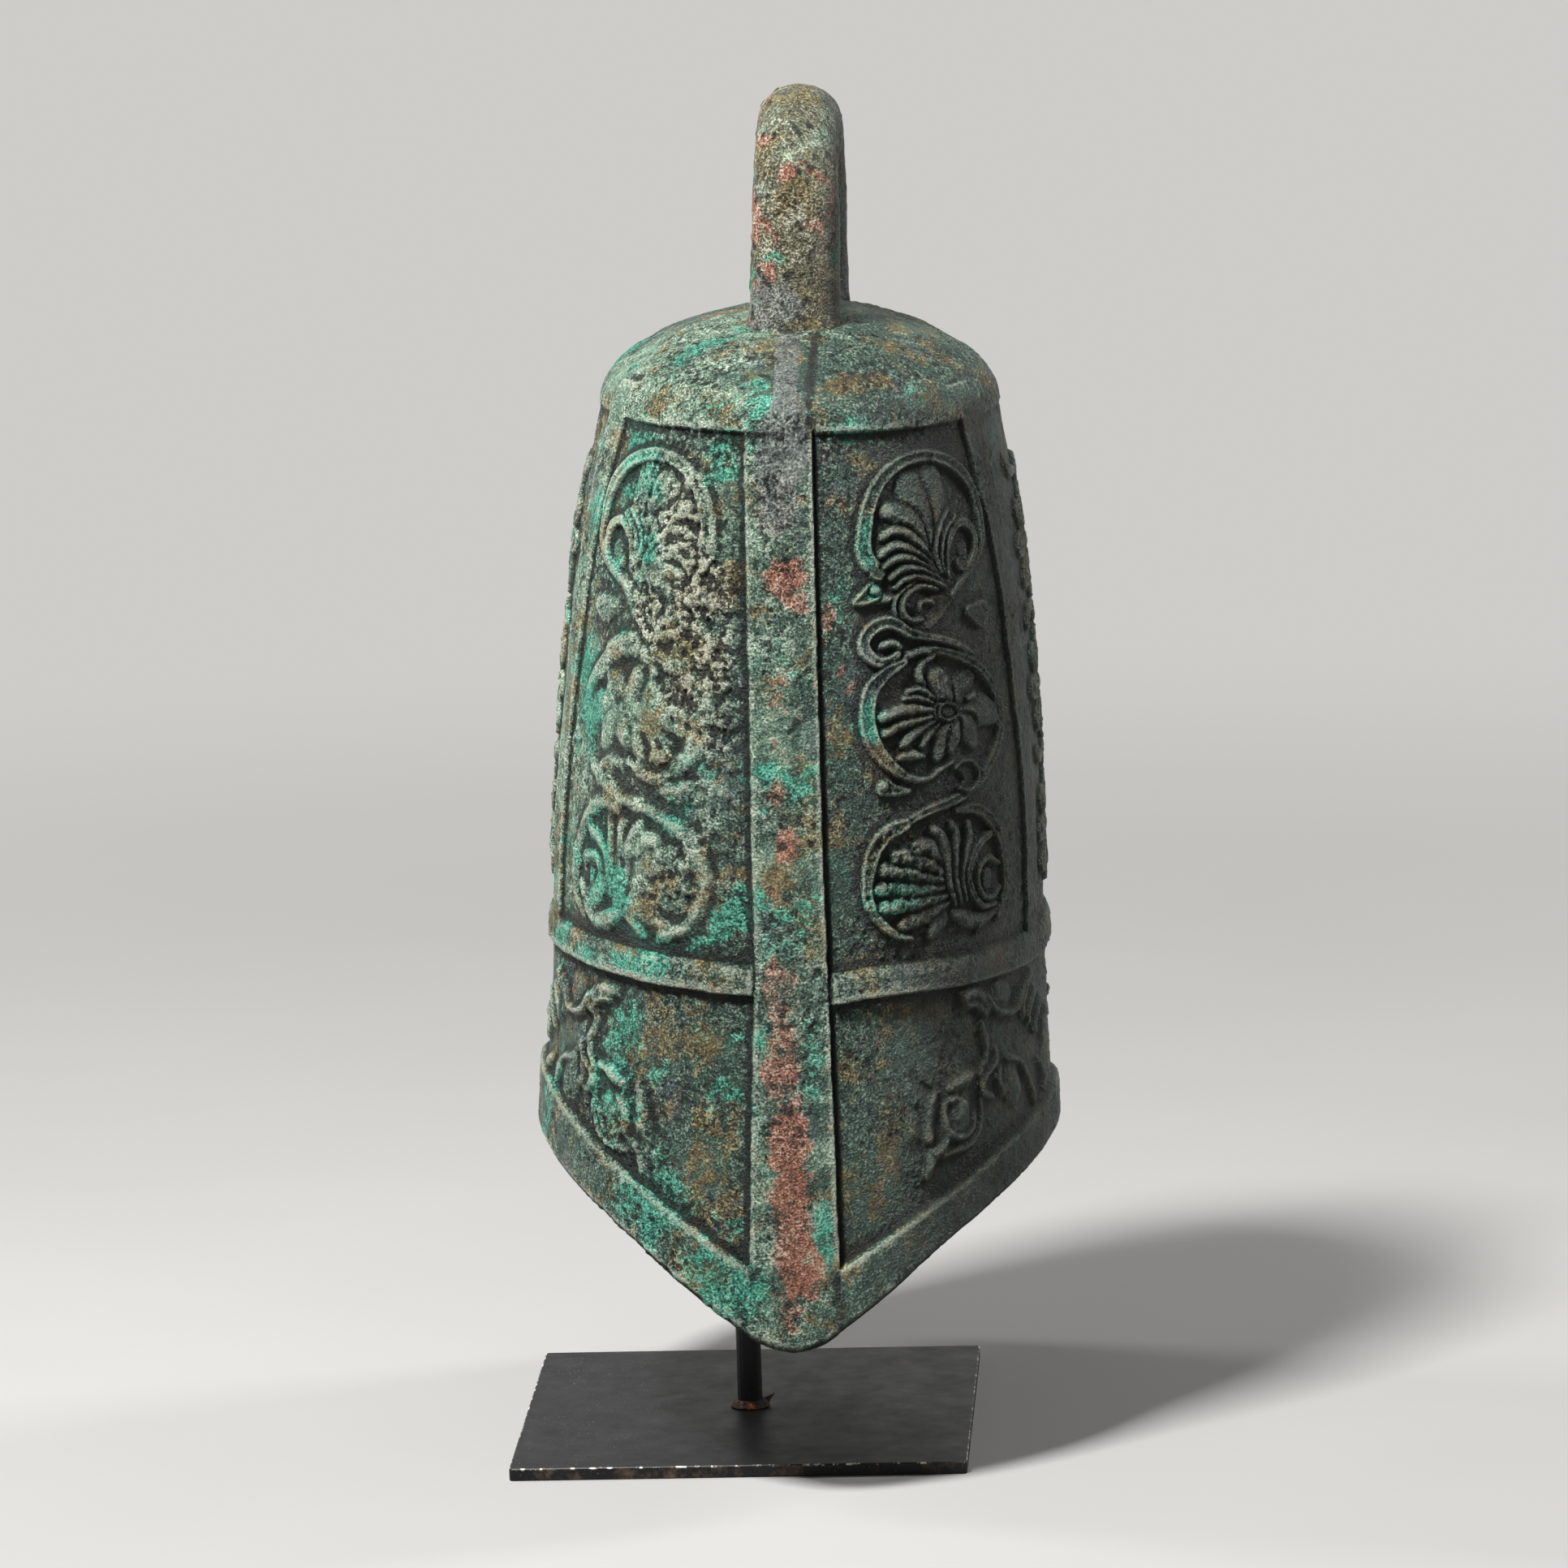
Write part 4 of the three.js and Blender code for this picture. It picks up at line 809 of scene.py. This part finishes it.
def grid_object(name, points, start, end, fields, to_model=bell_to_model):
    """A closed mesh from a grid of rings, with a point at each end, and its named fields."""
    rows, count = points.shape[:2]
    verts = to_model(np.concatenate([points.reshape(-1, 3), np.array([start, end])])) * MM
    r, c = np.meshgrid(np.arange(rows - 1), np.arange(count), indexing="ij")
    a = r * count + c
    b = r * count + (c + 1) % count
    quads = np.stack([a, b, b + count, a + count], -1)
    k = np.arange(count)
    onward = (k + 1) % count
    last_row = (rows - 1) * count
    first_fan = np.stack([np.full(count, rows * count), onward, k], -1)
    last_fan = np.stack([np.full(count, rows * count + 1), last_row + k, last_row + onward], -1)
    loops = np.concatenate([quads.ravel(), first_fan.ravel(), last_fan.ravel()]).astype(np.int32)
    sizes = np.repeat([4, 3], [a.size, 2 * count]).astype(np.int32)
    mesh = bpy.data.meshes.new(name)
    mesh.vertices.add(len(verts))
    mesh.vertices.foreach_set("co", verts.astype(np.float32).ravel())
    mesh.loops.add(len(loops))
    mesh.loops.foreach_set("vertex_index", loops)
    mesh.polygons.add(len(sizes))
    mesh.polygons.foreach_set("loop_start", (np.cumsum(sizes) - sizes).astype(np.int32))
    mesh.polygons.foreach_set("use_smooth", np.ones(len(sizes), bool))
    mesh.update(calc_edges=True)
    mesh.validate()
    for field_name, field in fields.items():
        attribute = mesh.attributes.new(field_name, "FLOAT", "POINT")
        values = np.concatenate([field.ravel(), [field[0].mean(), field[-1].mean()]])
        attribute.data.foreach_set("value", values.astype(np.float32))
    return in_scene(name, mesh)


# Colour fields, from 0 to 1 or a little more: where each kind of patina lies, and where painted
# shade and painted highlight go
# The edges field is high on crests and low in hollows, for painted highlight and painted shade
# below; its last term darkens a strip inside the ridge's right edge as painted shade
proud = relief - grid_blur(relief, 5)
broad = relief - grid_blur(relief, 16)
edges = 0.5 + 0.55 * proud + 0.12 * broad - 0.3 * front * hump(from_right, 1.5, 2.2)
rear_red = step(-10, 40, y_of) * step(0.3, 0.55, layered(base, 40, 3, 121))
red = np.maximum(blobs(RED_SPOTS), 0.75 * rear_red)
leftness = step(0.35, -0.35, side_share)
green_noise = step(-0.05, 0.5, layered(base, 26, 4, 131, 0.6))
green = np.maximum(blobs(GREEN_SPOTS), green_noise * (0.35 + 0.5 * leftness))
buff_noise = step(0.25, 0.6, layered(base, 30, 3, 141))
buff = np.maximum(crust * 0.95, 0.6 * buff_noise * (0.4 + 0.6 * leftness))
bare_strip = (step(8, 4, np.abs(x_of + 1.6) + 1.5 * layered(base, 9, 3, 145)) * front
              * (height > COLLAR_LOW))
worn = np.maximum(blobs(WORN_SPOTS), bare_strip)
loop_joint = hump(-y_of, LOOP_SPAN + 4, 5) * step(34, 20, np.abs(x_of)) * (height > COLLAR_HIGH)
# Painted shade on the right side of the front, below the dome: partly a darker patina there, partly
# shade on the side turned from the light
dark_patina_and_painted_shade = (step(0.25, 0.65, side_share - 0.12 * layered(base, 30, 3, 151)) * front_share
         * step(10, -20, height - COLLAR_HIGH))
pale = np.maximum.reduce([
    step(0.1, -0.5, side_share) * step(-10, 20, height - MID_HIGH),
    0.8 * ridge * step(0, -20, height - COLLAR_LOW),
    1.3 * loop_joint,
])
pale = (pale * front_share * (0.75 + 0.5 * layered(base, 22, 4, 161, 0.6))
        * (1 + 0.3 * (height > COLLAR_LOW)))
fields = {
    "edges": whole(np.clip(edges, 0, 1), 0.5),
    "red": whole(red, 0.1),
    "green": whole(np.clip(green, 0, 1), 0.3),
    "buff": whole(np.clip(buff, 0, 1), 0.1),
    "worn": whole(worn, 0),
    "dark_patina_and_painted_shade": whole(dark_patina_and_painted_shade, 0),
    "pale": whole(pale, 0),
    "rough": whole(np.clip(0.25 + 0.75 * sandy + crust, 0, 1), 0.4),
}
bell_skin = grid_object("bell_skin", grid, (0, 0, APEX - CROWN), (0, 0, APEX + 0.4), fields)
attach(bell_skin, "bell")
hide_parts("bell_body")

# Suspension loop: rings along two legs and a half circle, with a lumpy flare at each foot
LOOP_SIDES = 112
LOOP_PITCH = 0.9
LOOP_SINK = 8.5
LOOP_HALF = 21.3
RED_HEIGHT = 612


def loop_skin():
    turn_radius = LOOP_SPAN - LOOP_THICK / 2
    arch = LOOP_CREST - LOOP_SPAN
    foot = APEX - LOOP_SINK
    leg_steps = int((arch - foot) / LOOP_PITCH)
    turn_steps = int(math.pi * turn_radius / LOOP_PITCH)
    # each ring has its centre, outward direction, half width, half thickness and share of the foot
    rings = []
    for k in range(leg_steps):
        h = foot + (arch - foot) * k / leg_steps
        up = h - foot
        taper = 1 - up / (arch - foot)
        fillet = hump(up, 0, 8)
        rings.append(((0, -turn_radius, h), (0, -1, 0), LOOP_HALF + 1.6 * taper + 1.6 * fillet,
                      LOOP_THICK / 2 + 1.2 * taper + 1.6 * fillet, hump(up, 0, 14)))
    far_leg = [((0, turn_radius, c[2]), (0, 1, 0), *sizes) for c, _, *sizes in reversed(rings)]
    for k in range(turn_steps + 1):
        a = math.pi * k / turn_steps
        out = np.array([0, -math.cos(a), math.sin(a)])
        rings.append((np.array([0, 0, arch]) + out * turn_radius, out,
                      LOOP_HALF - 1.2 * math.sin(a), LOOP_THICK / 2, 0))
    centres, outs, widths, thicks, feet = (np.array(part, float) for part in zip(*rings, *far_leg))
    a = 2 * math.pi * np.arange(LOOP_SIDES) / LOOP_SIDES
    cx, cy = np.cos(a), np.sin(a)
    points = (centres[:, None] + np.array([1, 0, 0]) * (widths[:, None] * cx)[..., None]
              + outs[:, None] * (thicks[:, None] * cy)[..., None])
    rough = layered(points, 5, 3, 203, 0.7)
    bump = (0.7 * layered(points, 24, 2, 201) + 0.3 * rough + 0.08 * noise(points, 1.8, 207)
            + feet[:, None] * (1.4 * layered(points, 9, 3, 211, 0.7) + 0.3))
    bump = bump - 0.5 * step(0.4, 0.8, noise(points, 5, 221))
    moved = points + grid_normals(points) * bump[..., None]
    level = points[..., 2]
    outer_side = step(-0.2, 0.9, cy)
    loop_fields = {
        "edges": np.clip(0.5 + 0.6 * (bump - grid_blur(bump, 5)), 0, 1),
        "red": step(0.15, 0.55, layered(points, 14, 3, 233) - 0.1 * cx
                    + 0.28 * hump(level, RED_HEIGHT, 26)),
        "green": 0.8 * step(0.0, 0.5, layered(points, 22, 4, 241) + 0.15 - 0.3 * outer_side),
        "buff": np.clip(0.45 + 0.9 * layered(points, 30, 3, 251), 0, 1),
        "worn": step(-0.2, 0.4, layered(points, 20, 3, 261)) * step(596, 572, level),
        # Painted shade: the loop's right side is darkened as if turned from the light
        "dark_patina_and_painted_shade": 0.8 * step(0.35, 0.95, cx + 0.3 * rough),
        "pale": 0.5 * step(600, 640, level),
        "rough": np.full(bump.shape, 0.8),
    }
    start, end = centres[0] - UP, centres[-1] - UP
    return grid_object("loop_skin", moved, start, end, loop_fields)


loop = loop_skin()
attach(loop, "bell")
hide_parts("suspension_loop")

# Weld bead at the post's foot: a lumpy fillet with a spatter spike on its right
WELD_SIDES = 160
POST_RADIUS = 12.7 / 2
WELD_LEG = 6
WELD_REACH = 0.55
WELD_TALL = 3.4
SEAT_GAP = 0.3
SPIKE_LONG = 5
SPIKE_TURN = 0.35
WELD_PROFILE = ((0, 0), (0.5, 0), (1, 0), (0.98, 0.12), (0.9, 0.26), (0.78, 0.38), (0.64, 0.48),
                (0.5, 0.56), (0.36, 0.66), (0.22, 0.8), (0.1, 0.92), (0, 1))


def weld_skin():
    turn = 2 * math.pi * np.arange(WELD_SIDES) / WELD_SIDES
    foot = PLATE_TOP + SEAT_GAP
    rings = []
    for out, up in WELD_PROFILE:
        radius = POST_RADIUS + SEAT_GAP + WELD_LEG * out * WELD_REACH
        level = np.full(WELD_SIDES, foot + WELD_TALL * up)
        ring = np.stack([radius * np.cos(turn), radius * np.sin(turn), level], -1)
        lump = layered(ring, 4, 3, 301, 0.7)
        outward = np.stack([np.cos(turn), np.sin(turn), np.full(WELD_SIDES, 0.7)], -1)
        ring = ring + outward * lump[:, None] * (up > 0) * (2.4 * out * up + 0.4 * up)
        spike = SPIKE_LONG * hump(out, WELD_REACH, 0.25) * hump(turn, SPIKE_TURN, 0.16) * (up > 0)
        rings.append(ring + outward * spike[:, None])
    start, end = (0, 0, foot), (0, 0, foot + WELD_TALL)
    return grid_object("foot_weld_bead", np.array(rings), start, end, {}, lambda points: points)


# Materials


def linear(colour):
    """Scene colour of a screen colour given from 0 to 255."""
    c = np.array(colour) / 255
    c = np.where(c <= 0.04045, c / 12.92, ((c + 0.055) / 1.055) ** 2.4)
    return (*c, 1.0)


class Nodes:
    """A node tree under construction."""

    def __init__(self, tree):
        self.tree = tree

    def put(self, value, socket):
        """Links the socket, or sets it to a number or colour."""
        if isinstance(value, bpy.types.NodeSocket):
            self.tree.links.new(value, socket)
        else:
            socket.default_value = value

    def node(self, kind, settings=None, **inputs):
        """A node with its inputs by name, or by number as i0, i1 and so on."""
        n = self.tree.nodes.new(kind)
        for key, value in (settings or {}).items():
            setattr(n, key, value)
        for key, value in inputs.items():
            numbered = key[0] == "i" and key[1:].isdigit()
            self.put(value, n.inputs[int(key[1:]) if numbered else key.replace("_", " ")])
        return n

    def math(self, operation, a, b=0.0):
        return self.node("ShaderNodeMath", {"operation": operation}, i0=a, i1=b).outputs[0]

    def times(self, a, b):
        return self.math("MULTIPLY", a, b)

    def step(self, value, low, high):
        return self.node("ShaderNodeMapRange", {"interpolation_type": "SMOOTHSTEP"}, Value=value,
                         From_Min=low, From_Max=high).outputs[0]

    def mix(self, share, a, b):
        return self.node("ShaderNodeMix", {"data_type": "RGBA"}, i0=share, i6=a, i7=b).outputs[2]

    def ramp(self, value, stops):
        n = self.node("ShaderNodeValToRGB", i0=value)
        ramp = n.color_ramp
        while len(ramp.elements) < len(stops):
            ramp.elements.new(0.5)
        for element, (place, colour) in zip(ramp.elements, stops):
            element.position = place
            element.color = linear(colour)
        return n.outputs[0]

    def total(self, *terms):
        """The sum of sockets, each times its factor."""
        value = None
        for socket, factor in terms:
            part = self.times(socket, factor)
            value = part if value is None else self.math("ADD", value, part)
        return value

    def seen_rays(self):
        """1 for the rays that show the background: camera, glossy and transmission rays."""
        rays = self.node("ShaderNodeLightPath").outputs
        seen = rays["Is Camera Ray"]
        for other in ("Is Glossy Ray", "Is Transmission Ray"):
            seen = self.math("MAXIMUM", seen, rays[other])
        return seen


class Shader(Nodes):
    """A node material around the Principled BSDF."""

    def __init__(self, name, **inputs):
        self.material = bpy.data.materials.new(name)
        self.material.use_nodes = True
        super().__init__(self.material.node_tree)
        self.surface = self.tree.nodes["Principled BSDF"]
        self.place = self.node("ShaderNodeTexCoord").outputs["Object"]
        self.give(**inputs)

    def give(self, **inputs):
        """Gives the surface its inputs, by name."""
        for key, value in inputs.items():
            self.put(value, self.surface.inputs[key.replace("_", " ")])

    def noise(self, millimetres, detail=3.0, rough=0.55):
        return self.node("ShaderNodeTexNoise", Vector=self.place, Scale=1 / (millimetres * MM),
                         Detail=detail, Roughness=rough, Distortion=0.0).outputs["Fac"]

    def field(self, name):
        return self.node("ShaderNodeAttribute", {"attribute_name": name}).outputs["Fac"]

    def bump(self, *layers):
        """Bump from layers of height socket and depth in millimetres."""
        normal = {}
        for socket, depth in layers:
            n = self.node("ShaderNodeBump", Height=socket, Distance=depth * MM, Strength=1.0,
                          **normal)
            normal = {"Normal": n.outputs[0]}
        self.give(**normal)


# Patina colours, each from the deepest grains to the highest. The same swing raises the bump, so
# the palest grains are partly a painted highlight on the peaks and the darkest partly painted shade
# in the pits
GRAIN_STOPS = (0.34, 0.45, 0.55, 0.68)
GROUND = ((16, 28, 24), (36, 60, 50), (58, 84, 70), (142, 160, 140))
LOOP_GROUND = ((38, 38, 28), (80, 78, 58), (112, 108, 84), (172, 166, 140))
SLATE = ((26, 36, 40), (50, 64, 68), (70, 84, 86), (122, 132, 128))
TEAL = ((10, 56, 48), (22, 100, 82), (42, 140, 116), (150, 216, 194))
OLIVE = ((36, 30, 16), (80, 68, 36), (112, 96, 56), (172, 158, 116))
CUPRITE = ((60, 30, 22), (124, 68, 50), (158, 100, 78), (210, 178, 158))
CRUST = ((50, 48, 36), (118, 114, 92), (170, 168, 144), (220, 218, 200))
PALE = ((48, 72, 58), (92, 124, 104), (132, 156, 134), (212, 220, 202))
BARE = ((52, 57, 54), (86, 91, 88), (112, 117, 112), (172, 174, 166))
FLECK = (86, 170, 146)
# Pale of raised crests: partly rubbed metal, partly a painted highlight
RUBBED_AND_HIGHLIGHT = (172, 178, 160)
# Painted shade in the hollows
RECESS_SHADE = (9, 12, 10)
# Painted shade colour for the right side, partly also a dark patina
DARK_PATINA_AND_PAINTED_SHADE = (18, 22, 18)


def bronze(name, ground=GROUND, buff_gain=1.0, olive_gain=1.0):
    """Corroded bronze: grains of one height pattern, coloured by whichever layer covers them."""
    sh = Shader(name, Metallic=0.15, Specular_IOR_Level=0.35)
    slow, stain, middle = sh.noise(42, 4), sh.noise(24, 5, 0.62), sh.noise(13, 5, 0.62)
    second, small, grain = sh.noise(7, 5, 0.7), sh.noise(3.6, 4, 0.7), sh.noise(1.2, 3, 0.65)
    green, red, buff, edge, worn, rough, dark_patina_and_painted_shade, pale = (
        sh.field(f) for f in ("green", "red", "buff", "edges", "worn", "rough", "dark_patina_and_painted_shade", "pale"))

    # grain height about its mean, stronger where the surface is rough
    strength = sh.math("ADD", 0.9, sh.times(rough, 0.9))
    pattern = sh.total((grain, 0.66), (small, 0.24), (second, 0.1))
    swing = sh.times(sh.math("SUBTRACT", pattern, 0.5), strength)
    # the edge term makes the tone paler on crests and darker in hollows: painted highlight and
    # painted shade
    tone = sh.math("ADD", sh.total((swing, 1.0), (edge, 0.14), (middle, 0.3)), 0.28)

    def grains(colours):
        return sh.ramp(tone, tuple(zip(GRAIN_STOPS, colours)))

    # from the lowest layer up: colours, what its share grows with, from and to, and the most of it
    colour = grains(ground)
    for shades, terms, low, high, most in (
        (SLATE, ((slow, 1.0), (second, 0.4)), 0.72, 0.86, 0.8),
        (PALE, ((pale, 0.5), (second, 0.6), (middle, 0.6)), 0.74, 1.06, 0.85),
        (OLIVE, ((stain, olive_gain), (second, 0.6)), 0.8, 0.94, 0.85),
        (TEAL, ((green, 0.5), (middle, 0.8), (second, 0.7), (small, 0.3)), 1.06, 1.26, 0.85),
        (CUPRITE, ((red, 0.66), (middle, 0.6), (second, 0.7), (small, 0.3)), 1.2, 1.42, 0.85),
        (CRUST, ((buff, 0.55 * buff_gain), (small, 0.9), (grain, 0.5)), 1.0, 1.26, 0.85),
        (FLECK, ((green, 0.2), (small, 1.0), (grain, 0.7)), 1.02, 1.12, 0.8),
        (BARE, ((worn, 1.0), (second, 0.8)), 0.7, 1.1, 0.8),
        # pale on raised crests: partly rubbed metal, partly painted highlight
        (RUBBED_AND_HIGHLIGHT, ((edge, 1.0), (grain, 0.4), (middle, 0.5)), 1.2, 1.5, 0.5),
        # painted shade: near black where the surface lies below its surroundings
        (RECESS_SHADE, ((edge, 1.0), (grain, 0.3)), 0.64, 0.4, 0.85),
    ):
        share = sh.times(sh.step(sh.total(*terms), low, high), most)
        colour = sh.mix(share, colour, grains(shades) if np.ndim(shades) == 2 else linear(shades))
    # Painted shade: the right side is darkened towards near black, partly also a darker patina
    colour = sh.mix(sh.times(dark_patina_and_painted_shade, 0.78), colour, linear(DARK_PATINA_AND_PAINTED_SHADE))
    gloss = sh.times(worn, 0.1)
    sh.give(Base_Color=colour,
            Roughness=sh.math("SUBTRACT", sh.total((small, 0.4), (grain, 0.45)), gloss))
    sh.bump((small, 2.2), (swing, 3.4))
    return sh.material


def simple(name, stops, grain, roughness, metallic, bump_depth):
    sh = Shader(name, Roughness=roughness, Metallic=metallic)
    sh.give(Base_Color=sh.ramp(sh.noise(grain, 5, 0.65), stops))
    sh.bump((sh.noise(grain / 3, 4, 0.7), bump_depth))
    return sh.material


# Black paint: chips along the plate's top edges, and a film of dirt on its sides, both given by
# how far they reach in from the edge
CHIP_REACH = (0.8, 0.4)
CHIP_DROP = (1.2, 0.4)
FILM_REACH = (0.3, 0)
DUST = (120, 116, 108)
BARE_STEEL = (196, 190, 176)
DIRT = (112, 92, 72)


def black_paint():
    """Satin black, dusty, with the paint chipped to bare steel along the plate's edges."""
    sh = Shader("black_paint", Specular_IOR_Level=0.22)
    x, y, z = sh.node("ShaderNodeSeparateXYZ", Vector=sh.place).outputs
    reach = sh.math("MAXIMUM", sh.math("ABSOLUTE", x), sh.math("ABSOLUTE", y))

    def near_edge(value, limit, distances):
        return sh.step(value, *((limit - distance) * MM for distance in distances))

    specks = sh.total((sh.noise(1.3, 2, 0.6), 1.0), (sh.noise(22, 3), 0.25))
    dust = sh.step(specks, 0.80, 0.86)
    rim = sh.times(near_edge(reach, PLATE_HALF, CHIP_REACH), near_edge(z, PLATE_TOP, CHIP_DROP))
    chips = sh.times(rim, sh.step(sh.noise(5, 4, 0.7), 0.53, 0.6))
    film = sh.times(near_edge(reach, PLATE_HALF, FILM_REACH),
                    sh.step(sh.noise(24, 4, 0.7), 0.46, 0.66))
    colour = sh.ramp(sh.noise(30, 5, 0.6), ((0.3, (11, 11, 13)), (0.7, (21, 21, 23))))
    for share, over in ((sh.times(dust, 0.5), DUST), (chips, BARE_STEEL),
                        (sh.times(film, 0.5), DIRT)):
        colour = sh.mix(share, colour, linear(over))
    sh.give(Base_Color=colour,
            Roughness=sh.math("ADD", 0.3, sh.times(sh.noise(16, 4), 0.3)))
    sh.bump((sh.noise(1.6, 3, 0.6), 0.06))
    return sh.material


def dress(material, *objects):
    for obj in objects:
        obj.data.materials.clear()
        obj.data.materials.append(material)


def cad(*names):
    return [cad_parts[name] for name in names]


STAPLE = ((0.3, (44, 52, 42)), (0.7, (84, 92, 74)))
BALL = ((0.3, (48, 58, 46)), (0.7, (96, 104, 82)))
IRON = ((0.3, (44, 30, 24)), (0.7, (96, 62, 42)))
RUBBER = ((0.3, (22, 22, 21)), (0.7, (40, 39, 37)))
RUST = ((0.4, (20, 17, 16)), (0.52, (52, 30, 20)), (0.6, (168, 92, 40)))

weld = weld_skin()
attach(weld, "stand")
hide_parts("post_foot_weld")

dress(bronze("body_patina"), bell_skin)
dress(bronze("loop_patina", LOOP_GROUND, 0.8, 1.06), loop)
dress(simple("staple_patina", STAPLE, 9, 0.65, 0.3, 0.3), *cad("clapper_staple"))
dress(simple("ball_patina", BALL, 11, 0.6, 0.4, 0.3), *cad("clapper_ball"))
dress(simple("forged_iron", IRON, 8, 0.75, 0.5, 0.4), *cad("clapper_rod"))
dress(simple("pad_rubber", RUBBER, 3, 0.85, 0.0, 0.1),
      *cad("crown_pad_left", "crown_pad_right", "crown_pad_front", "crown_pad_rear"))
dress(black_paint(), *cad("base_plate", "stand_post", "head_ring", "post_head_weld"))
dress(simple("rusty_weld", RUST, 6, 0.8, 0.1, 0.5), weld)

# Floor, light and camera, in metres
FLOOR_HALF = 30.0
FLOOR_FADE = (0.5, 2.4)
PAPER = ((0.2, (136, 135, 133)), (0.8, (141, 140, 138)))
BACKGROUND = (205, 204, 201)
WORLD_LEVEL = 0.13
LAMP_AIM = (0.03, 0, 0.36)
CLIP_END = 30


def studio_floor():
    """A wide flat floor of pale paper, which takes the background's tone away from the bell."""
    corners = [(x * FLOOR_HALF, y * FLOOR_HALF, 0) for x, y in ((-1, -1), (1, -1), (1, 1), (-1, 1))]
    mesh = bpy.data.meshes.new("studio_floor")
    mesh.from_pydata(corners, [], [(0, 1, 2, 3)])
    obj = in_scene("studio_floor", mesh)
    sh = Shader("studio_paper", Roughness=0.9)
    sh.give(Base_Color=sh.ramp(sh.noise(400, 2), PAPER))
    reach = sh.node("ShaderNodeVectorMath", {"operation": "LENGTH"}, i0=sh.place).outputs["Value"]
    share = sh.times(sh.step(reach, *FLOOR_FADE), sh.seen_rays())
    tone = sh.node("ShaderNodeEmission", Color=linear(BACKGROUND)).outputs[0]
    blend = sh.node("ShaderNodeMixShader", i0=share, i1=sh.surface.outputs[0], i2=tone)
    sh.put(blend.outputs[0], sh.tree.nodes["Material Output"].inputs["Surface"])
    dress(sh.material, obj)


def placed(side, over, back, place):
    """A matrix from three axes and a place."""
    rows = np.stack([side, over, back, np.array(place, float)], 1).tolist()
    return Matrix([*rows, (0, 0, 0, 1)])


def lamp(name, place, size, power):
    data = bpy.data.lights.new(name, "AREA")
    data.shape = "RECTANGLE"
    data.size, data.size_y = size
    data.energy = power
    back = np.array(place, float) - np.array(LAMP_AIM, float)
    back /= np.linalg.norm(back)
    side = np.cross(UP, back)
    side /= np.linalg.norm(side)
    in_scene(name, data).matrix_world = placed(side, np.cross(back, side), back, place)


studio_floor()
lamp("key", (-0.95, -1.25, 2.9), (0.5, 0.5), 265)
lamp("fill", (1.9, -2.0, 2.4), (1.4, 1.4), 4)
lamp("left_edge", (-1.7, 0.6, 1.9), (0.4, 1.0), 30)
lamp("right_edge", (1.7, 0.7, 1.9), (0.4, 1.0), 34)

world = bpy.data.worlds.new("studio")
bpy.context.scene.world = world
world.use_nodes = True
sky = Nodes(world.node_tree)
strength = sky.node("ShaderNodeMapRange", Value=sky.seen_rays(), To_Min=WORLD_LEVEL, To_Max=1.0)
background = sky.tree.nodes["Background"].inputs
sky.put(linear(BACKGROUND), background["Color"])
sky.put(strength.outputs[0], background["Strength"])

camera_data = bpy.data.cameras.new("camera")
camera_data.sensor_fit = "HORIZONTAL"
camera_data.sensor_width = SENSOR
camera_data.lens = SENSOR * FOCAL_PIXELS / PHOTO_SIDE
camera_data.clip_end = CLIP_END
camera = in_scene("camera", camera_data)
camera.matrix_world = placed(image_right, image_up, -forward, eye * MM)
bpy.context.scene.camera = camera
bpy.context.scene.view_settings.view_transform = "Standard"
